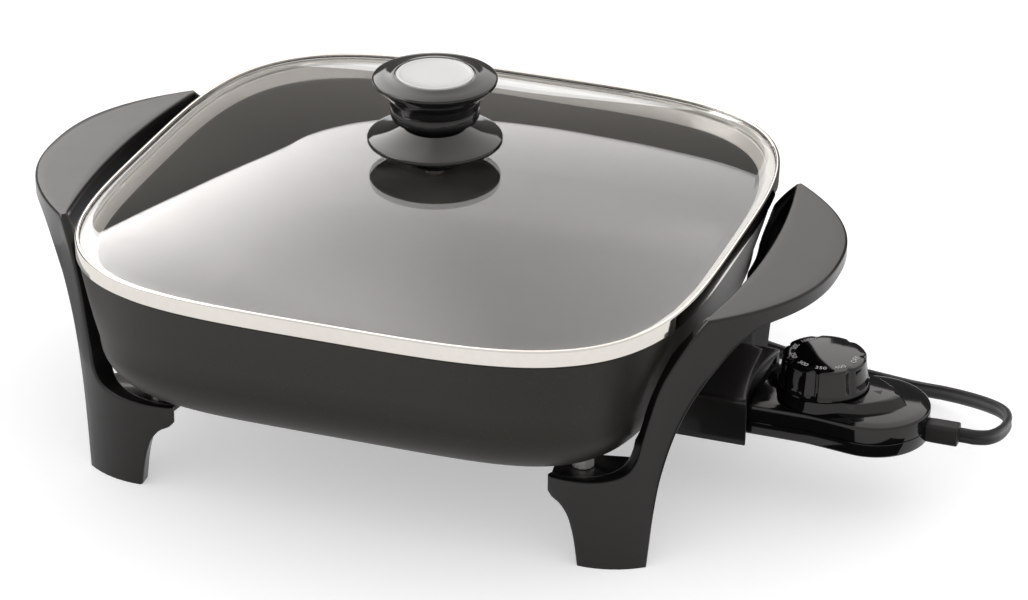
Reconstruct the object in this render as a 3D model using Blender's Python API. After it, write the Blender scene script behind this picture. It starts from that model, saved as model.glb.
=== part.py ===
import math

import bmesh
import bpy
import numpy as np
from mathutils import Matrix, Vector

# Clearances and small common sizes, in metres
GAP = 0.0003
RUNNING_GAP = 0.0006
OVERRUN = 0.002
EDGE = 0.0012

# Pan
PAN_HALF_LENGTH = 0.149
PAN_HALF_WIDTH = 0.147
PAN_RIM_HEIGHT = 0.1155
PAN_BOTTOM_HEIGHT = 0.0484
PAN_WALL = 0.003
PAN_BASE = 0.004
PAN_BOTTOM_RADIUS = 0.0279
PAN_TAPER_SHARE = 0.328
RIM_POWER = 3.75
BOTTOM_POWER = 5.0

# Lid
LID_OVERHANG = 0.001
LID_BAND_HEIGHT = 0.0079
LID_SHEET = 0.0012
LID_LIP_WIDTH = 0.0044
LID_LEDGE_WIDTH = 0.007
LID_SKIRT_DROP = 0.0045
GLASS_THICKNESS = 0.004
GLASS_FLANGE = 0.0035
GLASS_RISE = 0.0197
GLASS_HOLE_RADIUS = 0.004
DOME_POWER = 2.2

# Knob of the lid
GASKET_RADIUS = 0.011
GASKET_THICKNESS = 0.0012
HUB_RADIUS = 0.0125
HUB_HEIGHT = 0.0064
DISC_RADIUS = 0.0319
DISC_THICKNESS = 0.0037
THROAT_RADIUS = 0.0129
THROAT_HEIGHT = 0.003
NECK_RADIUS = 0.0209
NECK_HEIGHT = 0.018
CAP_RADIUS = 0.0294
CAP_HEIGHT = 0.0092
BADGE_RADIUS = 0.0182
BADGE_THICKNESS = 0.0013
WASHER_RADIUS = 0.008
WASHER_THICKNESS = 0.0012
KNOB_SCREW_RADIUS = 0.0023
KNOB_SCREW_HEAD_RADIUS = 0.0055
KNOB_SCREW_HEAD_HEIGHT = 0.0028
KNOB_SCREW_REACH = 0.013

# Handles with their legs
HANDLE_REACH = 0.1972
HANDLE_BOW = 0.0389
HANDLE_POWER = 2.35
HANDLE_HALF_SPAN = 0.0775
HANDLE_HEIGHT = 0.1195
HANDLE_RIM_DEPTH = 0.008
HANDLE_INNER_REACH = 0.163
HANDLE_INNER_BOW = 0.0075
HANDLE_WALL = 0.003
SKIRT_DEPTH = 0.0105
PAN_CLEARANCE = 0.0015
LEG_STRAIGHT = 0.022
LEG_HEADING = math.radians(134.4)
LEG_TURN_RADIUS = 0.045
LEG_RUN = 0.0775
LEG_FLANGE_DEPTH = 0.009
LEG_FLANGE_GROWTH_SHARE = 0.34
LEG_FLANGE_FALL_SHARE = 0.10
SHELF_HEIGHT = 0.0419
SHELF_THICKNESS = 0.0037
SHELF_LIP = 0.008
POST_X = 0.1042
POST_Y = 0.0877

# Fasteners and spacers under the pan
BOSS_RADIUS = 0.0065
SPACER_RADIUS = 0.0052
LEG_SCREW_RADIUS = 0.002
LEG_SCREW_HEAD_RADIUS = 0.0042
SCREW_HEAD_HEIGHT = 0.0024
SCREW_BITE = 0.0025

# Heating element and its terminals
ELEMENT_RADIUS = 0.0032
ELEMENT_HALF_LENGTH = 0.074
ELEMENT_HALF_WIDTH = 0.062
ELEMENT_LEG_X = 0.084
ELEMENT_BEND = 0.026
ELEMENT_NECK_BEND = 0.014
PIN_SPREAD = 0.014
PIN_RADIUS = 0.0024
PIN_BASE_X = 0.124
PIN_END_X = 0.152
BUSHING_RADIUS = 0.0046
BUSHING_LENGTH = 0.0034
WELL_RADIUS = 0.0057
WELL_DEPTH_X = 0.056
WELL_MOUTH_X = 0.122

# Terminal guard
GUARD_HALF_WIDTH = 0.0285
GUARD_WALL = 0.003
GUARD_TOP = 0.0558
GUARD_BOTTOM = 0.032
GUARD_END_X = 0.1638
GUARD_START_X = 0.1292
GUARD_SCOOP = 0.0034
GUARD_EAR_X = 0.106
GUARD_EAR_Y = 0.0225
GUARD_EAR_HALF_LENGTH = 0.006
GUARD_EAR_THICKNESS = 0.003
GUARD_EAR_DROP = 0.003
GUARD_BOSS_RADIUS = 0.0045
GUARD_SCREW_RADIUS = 0.0015
GUARD_SCREW_HEAD_RADIUS = 0.0032
GUARD_CLEARANCE = 0.0007

# Heat control
CONTROL_START_X = 0.138
CONTROL_NECK_END_X = 0.190
CONTROL_NECK_HALF_WIDTH = 0.023
CONTROL_END_RADIUS = 0.0267
CONTROL_END_X = 0.2168
CONTROL_BOTTOM = 0.0355
CONTROL_TOP = 0.0511
CONTROL_SEAM = 0.0426
CONTROL_WALL = 0.0022
CONTROL_CROWN = 0.001
DOME_RADIUS = 0.0218
DOME_TIP_X = 0.2325
DOME_HEIGHT = 0.0045
DOME_SLOPE = 0.0014
PROBE_RADIUS = 0.0032
PROBE_TIP_X = 0.060
PROBE_ROOT_X = 0.166
TERMINAL_RADIUS = 0.0038
TERMINAL_LENGTH = 0.018
FRAME_START_X = 0.172
FRAME_END_X = 0.214
FRAME_HALF_WIDTH = 0.0105
FRAME_THICKNESS = 0.0012
ARM_THICKNESS = 0.0009
ARM_HALF_WIDTH = 0.0035
BLOCK_LENGTH = 0.009
BLOCK_HEIGHT = 0.0038
HOUSING_SCREW_X = 0.222
HOUSING_SCREW_Y = 0.0165
HOUSING_BOSS_RADIUS = 0.0038
HOUSING_SCREW_RADIUS = 0.0013
HOUSING_SCREW_HEAD_RADIUS = 0.0027
HOUSING_SCREW_REACH = 0.011

# Dial
DIAL_X = 0.1926
DIAL_TOP_RADIUS = 0.0196
DIAL_BASE_RADIUS = 0.0216
DIAL_HEIGHT = 0.0144
DIAL_CROWN = 0.0006
DIAL_FLUTES = 7
FLUTE_DEPTH = 0.0013
FLUTE_HALF_ANGLE = math.radians(7)
FLUTE_PHASE = math.radians(-89)
SHAFT_RADIUS = 0.003
SHAFT_HOLD = 0.009

# Cord, coil and plug
CORD_WIDTH = 0.0074
CORD_EXIT_HEIGHT = 0.0414
RELIEF_HALF_WIDTH = 0.004
RELIEF_HALF_HEIGHT = 0.005
RELIEF_END_X = 0.2580
RELIEF_FLANGE = 0.002
RELIEF_FLANGE_LENGTH = 0.0026
RELIEF_FLANGE_HALF_HEIGHT = 0.0034
FLOOR_CLEARANCE = 0.0002
COIL_X = 0.040
COIL_Y = 0.2125
COIL_RADIUS = 0.047
COIL_PITCH = 0.0079
COIL_TURNS = 2.0
COIL_POINTS_A_TURN = 24
FREE_POINTS = 52
COIL_TAIL = 0.051
TAIL_LEVEL_RUN = 0.022
TIE_THICKNESS = 0.0006
TIE_WIDTH = 0.004
TIE_ROOM = 0.0006
PLUG_LENGTH = 0.034
PLUG_HALF_WIDTH = 0.0125
PLUG_HALF_THICKNESS = 0.0095
PLUG_WAIST_SHARE = 0.62
BLADE_SPREAD = 0.00635
BLADE_HALF_WIDTH = 0.0032
BLADE_HALF_THICKNESS = 0.00075
BLADE_LENGTH = 0.0165

# How fine the round shapes are
RING_POINTS = 56
ROUND_POINTS = 36
SMALL_ROUND_POINTS = 12
SHARP_ANGLE = math.radians(32)
MERGE = 0.000002

# Heights and places that follow from the sizes above
LID_BASE = PAN_RIM_HEIGHT + GAP
LID_TOP = LID_BASE + LID_BAND_HEIGHT
GLASS_EDGE_TOP = LID_TOP - LID_SHEET - GAP
APEX = GLASS_EDGE_TOP + GLASS_RISE
PROBE_HEIGHT = PAN_BOTTOM_HEIGHT - GAP - ELEMENT_RADIUS
CONTROL_REACH = CONTROL_END_X + CONTROL_END_RADIUS
MIDDLE_X = (CONTROL_REACH - HANDLE_REACH) / 2
CORD_RADIUS = CORD_WIDTH / 2
COIL_LEVEL = CORD_RADIUS + TIE_ROOM + TIE_THICKNESS + FLOOR_CLEARANCE

# The legs' edges, each point as (share of the leg's run, share of the handle's height)
INNER_EDGE_SHARES = [
    (0.00, 1.000), (0.10, 0.935), (0.20, 0.858), (0.30, 0.757), (0.362, 0.640),
    (0.400, 0.550), (0.430, 0.470), (0.500, 0.408), (0.640, 0.377), (0.830, 0.362), (1.00, 0.352),
]
OUTER_EDGE_SHARES = [
    (-0.42, 0.931), (-0.30, 0.912), (-0.16, 0.850), (-0.01, 0.745), (0.115, 0.640),
    (0.195, 0.540), (0.245, 0.450), (0.282, 0.370), (0.300, 0.310), (0.310, 0.270), (0.318, 0.235),
]
FOOT_INNER_SHARES = [
    (1.00, 0.285), (0.965, 0.262), (0.905, 0.245), (0.855, 0.205), (0.825, 0.150), (0.805, 0.090),
    (0.785, 0.000),
]
FOOT_OUTER_SHARES = [
    (0.322, 0.215), (0.326, 0.195), (0.330, 0.172), (0.335, 0.140), (0.340, 0.100), (0.347, 0.060),
    (0.356, 0.000),
]
LEG_COLUMNS = 4
EDGE_STEPS = 14
RIM_STEPS = 9

# The shelf's back edge, as shares of the post's place
SHELF_BACK_SHARES = [(0.885, 1.075), (0.880, 0.950), (0.925, 0.895), (1.185, 0.828), (1.290, 0.930)]

# The cord's route from the strain relief to its coil
CORD_ROUTE = [
    (0.2690, 0.0015, 0.0409), (0.2721, 0.0060, 0.0399), (0.2737, 0.0125, 0.0382),
    (0.2743, 0.0220, 0.0356), (0.2735, 0.0360, 0.0322), (0.2702, 0.0480, 0.0292),
    (0.2652, 0.0574, 0.0263), (0.2584, 0.0666, 0.0228), (0.2519, 0.0743, 0.0196),
    (0.2443, 0.0824, 0.0160), (0.2362, 0.0900, 0.0125), (0.2283, 0.0962, 0.0095),
    (0.2210, 0.1010, 0.0070), (0.2120, 0.1052, 0.0050), (0.1980, 0.1090, 0.0040),
    (0.1750, 0.1130, 0.0039), (0.1500, 0.1180, 0.0039), (0.1230, 0.1270, 0.0039),
    (0.0980, 0.1400, 0.0040), (0.0780, 0.1540, 0.0043),
]


# Mesh helpers


def surface_of(name, colour, roughness, metallic):
    material = bpy.data.materials.new(name)
    material.use_nodes = True
    shader = material.node_tree.nodes["Principled BSDF"]
    shader.inputs["Base Color"].default_value = (*colour, 1)
    shader.inputs["Roughness"].default_value = roughness
    shader.inputs["Metallic"].default_value = metallic
    material.diffuse_color = (*colour, 1)
    return material


def add_object(name, build, material, parent, place=(0, 0, 0)):
    mesh = bpy.data.meshes.new(name)
    bmesh.ops.remove_doubles(build, verts=build.verts, dist=MERGE)
    bmesh.ops.recalc_face_normals(build, faces=build.faces)
    build.to_mesh(mesh)
    build.free()
    mesh.shade_smooth()
    mesh.set_sharp_from_angle(angle=SHARP_ANGLE)
    mesh.materials.append(material)
    thing = bpy.data.objects.new(name, mesh)
    bpy.context.scene.collection.objects.link(thing)
    thing.parent = parent
    thing.location = place
    return thing


def loft(build, rings, closed=False):
    rows = [[build.verts.new(point) for point in ring] for ring in rings]
    count = len(rows[0])
    pairs = list(zip(rows, rows[1:]))
    if closed:
        pairs.append((rows[-1], rows[0]))
    for low, high in pairs:
        for i in range(count):
            j = (i + 1) % count
            build.faces.new((low[i], low[j], high[j], high[i]))
    if not closed:
        build.faces.new(rows[0])
        build.faces.new(list(reversed(rows[-1])))


def slab(build, outer, inner):
    """Closes two matching grids of points into one wall."""
    front = [[build.verts.new(point) for point in row] for row in outer]
    back = [[build.verts.new(point) for point in row] for row in inner]
    rows, columns = len(front), len(front[0])
    for i in range(rows - 1):
        for j in range(columns - 1):
            build.faces.new((front[i][j], front[i][j + 1], front[i + 1][j + 1], front[i + 1][j]))
            build.faces.new((back[i][j], back[i + 1][j], back[i + 1][j + 1], back[i][j + 1]))
        for j in (0, columns - 1):
            build.faces.new((front[i][j], front[i + 1][j], back[i + 1][j], back[i][j]))
    for i in (0, rows - 1):
        for j in range(columns - 1):
            build.faces.new((front[i][j], back[i][j], back[i][j + 1], front[i][j + 1]))


def circle(radius, z, count=ROUND_POINTS):
    turns = [2 * math.pi * k / count for k in range(count)]
    return [(radius * math.cos(turn), radius * math.sin(turn), z) for turn in turns]


def rounded_ring(half_x, half_y, power, z, count=RING_POINTS):
    """A rounded square, with its points closer together in the corners."""
    points = []
    for k in range(count):
        turn = 2 * math.pi * k / count
        turn += 0.6 * math.sin(4 * turn) / 4
        east, north = math.cos(turn), math.sin(turn)
        reach = (abs(east / half_x) ** power + abs(north / half_y) ** power) ** (-1 / power)
        points.append((reach * east, reach * north, z))
    return points


def box(build, low, high):
    x0, y0, z0 = low
    x1, y1, z1 = high
    loft(build, [[(x0, y0, z), (x1, y0, z), (x1, y1, z), (x0, y1, z)] for z in (z0, z1)])


def prism(build, outline, z0, z1):
    loft(build, [[(x, y, z) for x, y in outline] for z in (z0, z1)])


def turned(name, profile, material, parent, place=(0, 0, 0), count=ROUND_POINTS, closed=False):
    build = bmesh.new()
    loft(build, [circle(radius, z, count) for radius, z in profile], closed)
    return add_object(name, build, material, parent, place)


def along_x(thing):
    """Lays a turned piece down, so that its top end points to +X."""
    thing.rotation_euler = (0, math.pi / 2, 0)
    return thing


def helper(name, build, parent, place=(0, 0, 0)):
    thing = add_object(name, build, bpy.data.materials["helper"], parent, place)
    thing.hide_render = True
    thing.display_type = "WIRE"
    return thing


def combine(thing, other, operation):
    modifier = thing.modifiers.new(other.name, "BOOLEAN")
    modifier.operation = operation
    modifier.object = other


def smooth_points(points, count):
    """Evenly spaced points on a curve that runs smoothly through the given ones."""
    known = np.array(points, float)
    padded = np.vstack([2 * known[0] - known[1], known, 2 * known[-1] - known[-2]])
    fine = []
    for k in range(len(known) - 1):
        a, b, c, d = padded[k:k + 4]
        for t in np.linspace(0, 1, 16, endpoint=False):
            fine.append(0.5 * (2 * b + (c - a) * t + (2 * a - 5 * b + 4 * c - d) * t * t
                               + (3 * b - a - 3 * c + d) * t ** 3))
    fine.append(known[-1])
    fine = np.array(fine)
    run = np.concatenate([[0], np.cumsum(np.linalg.norm(np.diff(fine, axis=0), axis=1))])
    wanted = np.linspace(0, run[-1], count)
    return np.stack([np.interp(wanted, run, fine[:, k]) for k in range(fine.shape[1])], axis=1)


def tube(name, points, radius, resolution, material, parent):
    curve = bpy.data.curves.new(name, "CURVE")
    curve.dimensions = "3D"
    curve.bevel_depth = radius
    curve.bevel_resolution = resolution
    curve.use_fill_caps = True
    spline = curve.splines.new("POLY")
    spline.points.add(len(points) - 1)
    for point, place in zip(spline.points, points):
        point.co = (*place, 1)
    curve.materials.append(material)
    thing = bpy.data.objects.new(name, curve)
    bpy.context.scene.collection.objects.link(thing)
    thing.parent = parent
    return thing


# Pan


def pan_wall_height():
    return PAN_RIM_HEIGHT - PAN_BOTTOM_HEIGHT - PAN_BOTTOM_RADIUS


def pan_power(z):
    down = min(1.0, max(0.0, (PAN_RIM_HEIGHT - z) / pan_wall_height()))
    return RIM_POWER + (BOTTOM_POWER - RIM_POWER) * down


def pan_inset(z):
    """How far in from the rim the pan's outside is at this height."""
    down = max(0.0, PAN_RIM_HEIGHT - z)
    fall = min(1.0, max(0.0, down - pan_wall_height()) / PAN_BOTTOM_RADIUS)
    inset = PAN_TAPER_SHARE * min(down, pan_wall_height())
    return inset + PAN_BOTTOM_RADIUS * (1 - math.sqrt(1 - fall ** 2))


def pan_ring(inset, z, wall=0.0):
    """A level ring of the pan's outside, or of its inside when wall is its thickness."""
    return rounded_ring(PAN_HALF_LENGTH - inset - wall, PAN_HALF_WIDTH - inset - wall, pan_power(z), z)


def pan_underside(inset):
    """How high the outside of the pan is, this far in from the rim."""
    beyond = inset - PAN_TAPER_SHARE * pan_wall_height()
    if beyond <= 0:
        return PAN_RIM_HEIGHT - inset / PAN_TAPER_SHARE
    side = max(0.0, 1 - beyond / PAN_BOTTOM_RADIUS)
    return PAN_BOTTOM_HEIGHT + PAN_BOTTOM_RADIUS * (1 - math.sqrt(1 - side * side))


def make_pan(material, parent):
    taper = PAN_TAPER_SHARE * pan_wall_height()
    turn_level = PAN_BOTTOM_HEIGHT + PAN_BOTTOM_RADIUS
    rings = []
    steps = 6
    for k in range(steps + 1):
        turn = math.pi / 2 * (1 - k / steps)
        inset = taper + PAN_BOTTOM_RADIUS * (1 - math.cos(turn))
        rings.append(pan_ring(inset, turn_level - PAN_BOTTOM_RADIUS * math.sin(turn)))
    rings.append(pan_ring(0, PAN_RIM_HEIGHT - EDGE / 2))
    rings.append(pan_ring(EDGE / 2, PAN_RIM_HEIGHT))
    rings.append(pan_ring(0, PAN_RIM_HEIGHT, PAN_WALL))
    inner_radius = PAN_BOTTOM_RADIUS - PAN_WALL
    floor = PAN_BOTTOM_HEIGHT + PAN_BASE
    for k in range(steps + 1):
        turn = math.pi / 2 * k / steps
        inset = taper + inner_radius * (1 - math.cos(turn))
        rings.append(pan_ring(inset, floor + inner_radius * (1 - math.sin(turn)), PAN_WALL))
    build = bmesh.new()
    loft(build, rings)
    pan = add_object("pan", build, material, parent)

    bosses = bmesh.new()
    for x, y in post_places():
        spot = bmesh.new()
        loft(spot, [circle(BOSS_RADIUS, z, SMALL_ROUND_POINTS)
                    for z in (PAN_BOTTOM_HEIGHT - GAP, PAN_BOTTOM_HEIGHT + PAN_BASE / 2)])
        take_over(bosses, spot, (x, y, 0))
    for side in (-1, 1):
        spot = bmesh.new()
        loft(spot, [circle(GUARD_BOSS_RADIUS, z, SMALL_ROUND_POINTS)
                    for z in (PAN_BOTTOM_HEIGHT - GUARD_EAR_DROP, PAN_BOTTOM_HEIGHT + PAN_BASE / 2)])
        take_over(bosses, spot, (GUARD_EAR_X, side * GUARD_EAR_Y, 0))
    well = bmesh.new()
    loft(well, [[(x, WELL_RADIUS * north, PROBE_HEIGHT + WELL_RADIUS * up)
                 for north, up, _ in circle(1, 0, SMALL_ROUND_POINTS)]
                for x in (WELL_DEPTH_X - PAN_WALL, WELL_MOUTH_X)])
    take_over(bosses, well, (0, 0, 0))
    combine(pan, helper("pan_bosses", bosses, parent), "UNION")

    holes = bmesh.new()
    for x, y in post_places():
        spot = bmesh.new()
        loft(spot, [circle(LEG_SCREW_RADIUS + GAP, z, SMALL_ROUND_POINTS)
                    for z in (PAN_BOTTOM_HEIGHT - OVERRUN, PAN_BOTTOM_HEIGHT + SCREW_BITE + GAP)])
        take_over(holes, spot, (x, y, 0))
    for side in (-1, 1):
        spot = bmesh.new()
        loft(spot, [circle(GUARD_SCREW_RADIUS + GAP, z, SMALL_ROUND_POINTS)
                    for z in (PAN_BOTTOM_HEIGHT - GUARD_EAR_DROP - OVERRUN,
                              PAN_BOTTOM_HEIGHT + SCREW_BITE + GAP)])
        take_over(holes, spot, (GUARD_EAR_X, side * GUARD_EAR_Y, 0))
    bore = bmesh.new()
    loft(bore, [[(x, (PROBE_RADIUS + RUNNING_GAP) * north,
                  PROBE_HEIGHT + (PROBE_RADIUS + RUNNING_GAP) * up)
                 for north, up, _ in circle(1, 0, SMALL_ROUND_POINTS)]
                for x in (WELL_DEPTH_X, WELL_MOUTH_X + OVERRUN)])
    take_over(holes, bore, (0, 0, 0))
    combine(pan, helper("pan_holes", holes, parent), "DIFFERENCE")
    return pan


def take_over(build, other, place):
    """Moves another build's shape into this one, shifted to its place."""
    bmesh.ops.recalc_face_normals(other, faces=other.faces)
    copies = {}
    for vertex in other.verts:
        copies[vertex] = build.verts.new(vertex.co + Vector(place))
    for face in other.faces:
        build.faces.new([copies[vertex] for vertex in face.verts])
    other.free()


def post_places():
    return [(x * POST_X, y * POST_Y) for x in (-1, 1) for y in (-1, 1)]


# Handles with their legs


def handle_line():
    """The plan of a handle's outer wall from its middle round to the shelf's end: places, ways in and runs."""
    ys = np.linspace(0, HANDLE_HALF_SPAN, 60)
    places = [(HANDLE_REACH - HANDLE_BOW * (y / HANDLE_HALF_SPAN) ** HANDLE_POWER, y) for y in ys]
    heading = np.array([math.cos(LEG_HEADING), math.sin(LEG_HEADING)])
    tip = np.array(places[-1])
    places += [tuple(tip + heading * LEG_STRAIGHT * k / 8) for k in range(1, 9)]
    bend_start = np.array(places[-1])
    centre = bend_start + LEG_TURN_RADIUS * np.array([-heading[1], heading[0]])
    sweep = (LEG_RUN - LEG_STRAIGHT) / LEG_TURN_RADIUS
    for k in range(1, 31):
        turn = LEG_HEADING + sweep * k / 30
        places.append(tuple(centre + LEG_TURN_RADIUS * np.array([math.sin(turn), -math.cos(turn)])))
    places = np.array(places)
    ahead = np.gradient(places, axis=0)
    ahead /= np.linalg.norm(ahead, axis=1)[:, None]
    ways_in = np.stack([-ahead[:, 1], ahead[:, 0]], axis=1)
    runs = np.concatenate([[0], np.cumsum(np.linalg.norm(np.diff(places, axis=0), axis=1))])
    return places, ways_in, runs, runs[59]


def on_wall(line, run, depth):
    """The plan point this far along the wall from the tip, and this deep behind its outer face."""
    places, ways_in, runs, tip = line
    at = run + tip
    place = np.array([np.interp(at, runs, places[:, k]) for k in range(2)])
    way = np.array([np.interp(at, runs, ways_in[:, k]) for k in range(2)])
    return place + way * depth / np.linalg.norm(way)


def handle_inner_x(y):
    return HANDLE_INNER_REACH - HANDLE_INNER_BOW * (y / HANDLE_HALF_SPAN) ** 2


def clear_depth(line, run, z, depth):
    """The depth behind the outer wall, made less where it would come too near the pan."""
    inset = pan_inset(z) - PAN_CLEARANCE
    half_x, half_y, power = PAN_HALF_LENGTH - inset, PAN_HALF_WIDTH - inset, pan_power(z)
    for share in np.linspace(1, HANDLE_WALL / depth, 40):
        x, y = on_wall(line, run, depth * share)
        if abs(x / half_x) ** power + abs(y / half_y) ** power > 1:
            break
    return depth * share


def flange_depth(line, run, z):
    """How deep the leg's turned-in edge is: deepest beside the pan and on the foot, a mere lip between them."""
    share = min(1.0, run / (LEG_FLANGE_GROWTH_SHARE * LEG_RUN))
    if z > SHELF_HEIGHT - SHELF_THICKNESS and run > LEG_FLANGE_GROWTH_SHARE * LEG_RUN:
        share = max(0.0, 1 - (run / LEG_RUN - LEG_FLANGE_GROWTH_SHARE) / LEG_FLANGE_FALL_SHARE)
    least = HANDLE_WALL + EDGE
    return clear_depth(line, run, z, least + (LEG_FLANGE_DEPTH - least) * share)


def plate_depth(line, run):
    """How deep the handle's top plate is here, measured square to the outer wall."""
    depth = LEG_FLANGE_DEPTH
    for _ in range(12):
        x, y = on_wall(line, run, depth)
        reached = on_wall(line, run, 0)
        fall = max(EDGE, reached[0] - x)
        depth *= max(EDGE, reached[0] - handle_inner_x(y)) / fall
    return depth


def leg_stations():
    """Matching points on the two edges of a leg and its half of the handle's rim, from foot to middle."""
    sizes = (LEG_RUN, HANDLE_HEIGHT, LEG_RUN, HANDLE_HEIGHT)
    stations = []
    for inner, outer, steps in ((FOOT_INNER_SHARES, FOOT_OUTER_SHARES, EDGE_STEPS // 2),
                                (INNER_EDGE_SHARES, OUTER_EDGE_SHARES, EDGE_STEPS)):
        pairs = np.hstack([inner, outer]) * sizes
        stations += [(tuple(row[:2]), tuple(row[2:])) for row in smooth_points(pairs, steps)[::-1]]
    middle = -handle_line()[3]
    last_run, last_height = stations[-1][1]
    rim_low = HANDLE_HEIGHT - HANDLE_RIM_DEPTH
    for k in range(1, RIM_STEPS + 1):
        part = k / RIM_STEPS
        stations.append(((middle * part, HANDLE_HEIGHT),
                         (last_run + (middle - last_run) * part,
                          last_height + (rim_low - last_height) * min(1.0, 2 * part))))
    return stations


def handle_rows(line):
    """The outer and inner points of one leg's wall and its flange, station by station."""
    outer_rows, inner_rows = [], []
    stations = np.array(leg_stations())
    ahead = np.gradient(stations[:, 0], axis=0)
    ahead[0] = (0, 1)
    for (top, low), (run, rise) in zip(stations, ahead):
        along = np.array([-rise, run]) / math.hypot(run, rise)
        along *= math.copysign(1, along @ (low - top))
        deep = plate_depth(line, top[0]) if top[0] < 0 else flange_depth(line, *top)
        outer_row, inner_row = [], []
        for k in range(LEG_COLUMNS + 1):
            spot = low + (top + along * EDGE - low) * k / LEG_COLUMNS
            under = low + (top + along * HANDLE_WALL - low) * k / LEG_COLUMNS
            outer_row.append((*on_wall(line, spot[0], 0), spot[1]))
            inner_row.append((*on_wall(line, under[0], HANDLE_WALL), under[1]))
        for depth in (EDGE, deep):
            under = top + along * HANDLE_WALL
            outer_row.append((*on_wall(line, top[0], depth), top[1]))
            inner_row.append((*on_wall(line, under[0], max(depth, HANDLE_WALL + EDGE / 2)), under[1]))
        outer_rows.append(outer_row)
        inner_rows.append(inner_row)
    return outer_rows, inner_rows


def leg_outer_flange(build, line, side):
    """The turned-in edge down the outside of one leg."""
    stations = [low for _, low in leg_stations()]
    rings = []
    for run, height in stations[:EDGE_STEPS // 2 + EDGE_STEPS // 2]:
        near, far = HANDLE_WALL / 2, LEG_FLANGE_DEPTH
        inside = run + HANDLE_WALL
        height = max(height, GAP)
        corners = [(run + EDGE / 4, near), (inside, near), (inside, far), (run + EDGE / 4, far)]
        rings.append([(x, side * y, height) for x, y in (on_wall(line, *corner) for corner in corners)])
    spot = bmesh.new()
    loft(spot, rings)
    take_over(build, spot, (0, 0, 0))


def shelf_outline(line, side):
    runs = np.linspace(OUTER_EDGE_SHARES[-1][0] * LEG_RUN + HANDLE_WALL, LEG_RUN - EDGE, 9)
    front = [on_wall(line, run, HANDLE_WALL / 2) for run in runs]
    back = [(POST_X * east, POST_Y * north) for east, north in SHELF_BACK_SHARES]
    return [(x, side * y) for x, y in (*front, *back)]


def make_handle(name, side, material, parent):
    """One handle with its two legs; side is 1 for the control's side and -1 for the other."""
    line = handle_line()
    outer_half, inner_half = handle_rows(line)
    outer = outer_half + [[(x, -y, z) for x, y, z in row] for row in outer_half[-2::-1]]
    inner = inner_half + [[(x, -y, z) for x, y, z in row] for row in inner_half[-2::-1]]
    build = bmesh.new()
    slab(build, outer, inner)

    added = bmesh.new()
    ys = np.linspace(-1, 1, 17) * (HANDLE_HALF_SPAN - LEG_FLANGE_DEPTH / 2)
    skirt_top = HANDLE_HEIGHT - HANDLE_WALL / 2
    skirt = [[[(handle_inner_x(y) + shift, y, z) for z in (skirt_top, HANDLE_HEIGHT - SKIRT_DEPTH)]
              for y in ys] for shift in (EDGE / 2, HANDLE_WALL)]
    spot = bmesh.new()
    slab(spot, *skirt)
    take_over(added, spot, (0, 0, 0))

    shelves = bmesh.new()
    holes = bmesh.new()
    flanges = bmesh.new()
    for end in (-1, 1):
        leg_outer_flange(flanges, line, end)
        spot = bmesh.new()
        prism(spot, shelf_outline(line, end), SHELF_HEIGHT - SHELF_THICKNESS, SHELF_HEIGHT)
        take_over(shelves, spot, (0, 0, 0))
        spot = bmesh.new()
        loft(spot, [circle(LEG_SCREW_RADIUS + GAP, z, SMALL_ROUND_POINTS)
                    for z in (SHELF_HEIGHT - SHELF_THICKNESS - OVERRUN, SHELF_HEIGHT + OVERRUN)])
        take_over(holes, spot, (POST_X, end * POST_Y, 0))

    for shape in (build, added, shelves, holes, flanges):
        bmesh.ops.transform(shape, matrix=Matrix.Diagonal((side, 1, 1, 1)), verts=shape.verts)
    handle = add_object(name, build, material, parent)
    combine(handle, helper(name + "_skirt", added, parent), "UNION")
    combine(handle, helper(name + "_flanges", flanges, parent), "UNION")
    combine(handle, helper(name + "_shelves", shelves, parent), "UNION")
    combine(handle, helper(name + "_holes", holes, parent), "DIFFERENCE")
    return handle


def make_leg_fasteners(steel, parent):
    spacer_low = SHELF_HEIGHT + GAP
    spacer_high = PAN_BOTTOM_HEIGHT - 2 * GAP
    bore = LEG_SCREW_RADIUS + GAP
    head_top = SHELF_HEIGHT - SHELF_THICKNESS - GAP
    for (x, y), corner in zip(post_places(), ("left_front", "left_rear", "right_front", "right_rear")):
        turned("leg_spacer_" + corner,
               [(bore, spacer_low), (SPACER_RADIUS, spacer_low), (SPACER_RADIUS, spacer_high),
                (bore, spacer_high)],
               steel, parent, (x, y, 0), SMALL_ROUND_POINTS, closed=True)
        turned("leg_screw_" + corner,
               [(LEG_SCREW_HEAD_RADIUS - EDGE, head_top - SCREW_HEAD_HEIGHT),
                (LEG_SCREW_HEAD_RADIUS, head_top - SCREW_HEAD_HEIGHT / 2),
                (LEG_SCREW_HEAD_RADIUS, head_top), (LEG_SCREW_RADIUS, head_top),
                (LEG_SCREW_RADIUS, PAN_BOTTOM_HEIGHT + SCREW_BITE)],
               steel, parent, (x, y, 0), SMALL_ROUND_POINTS)


# Heating element and terminals


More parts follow.
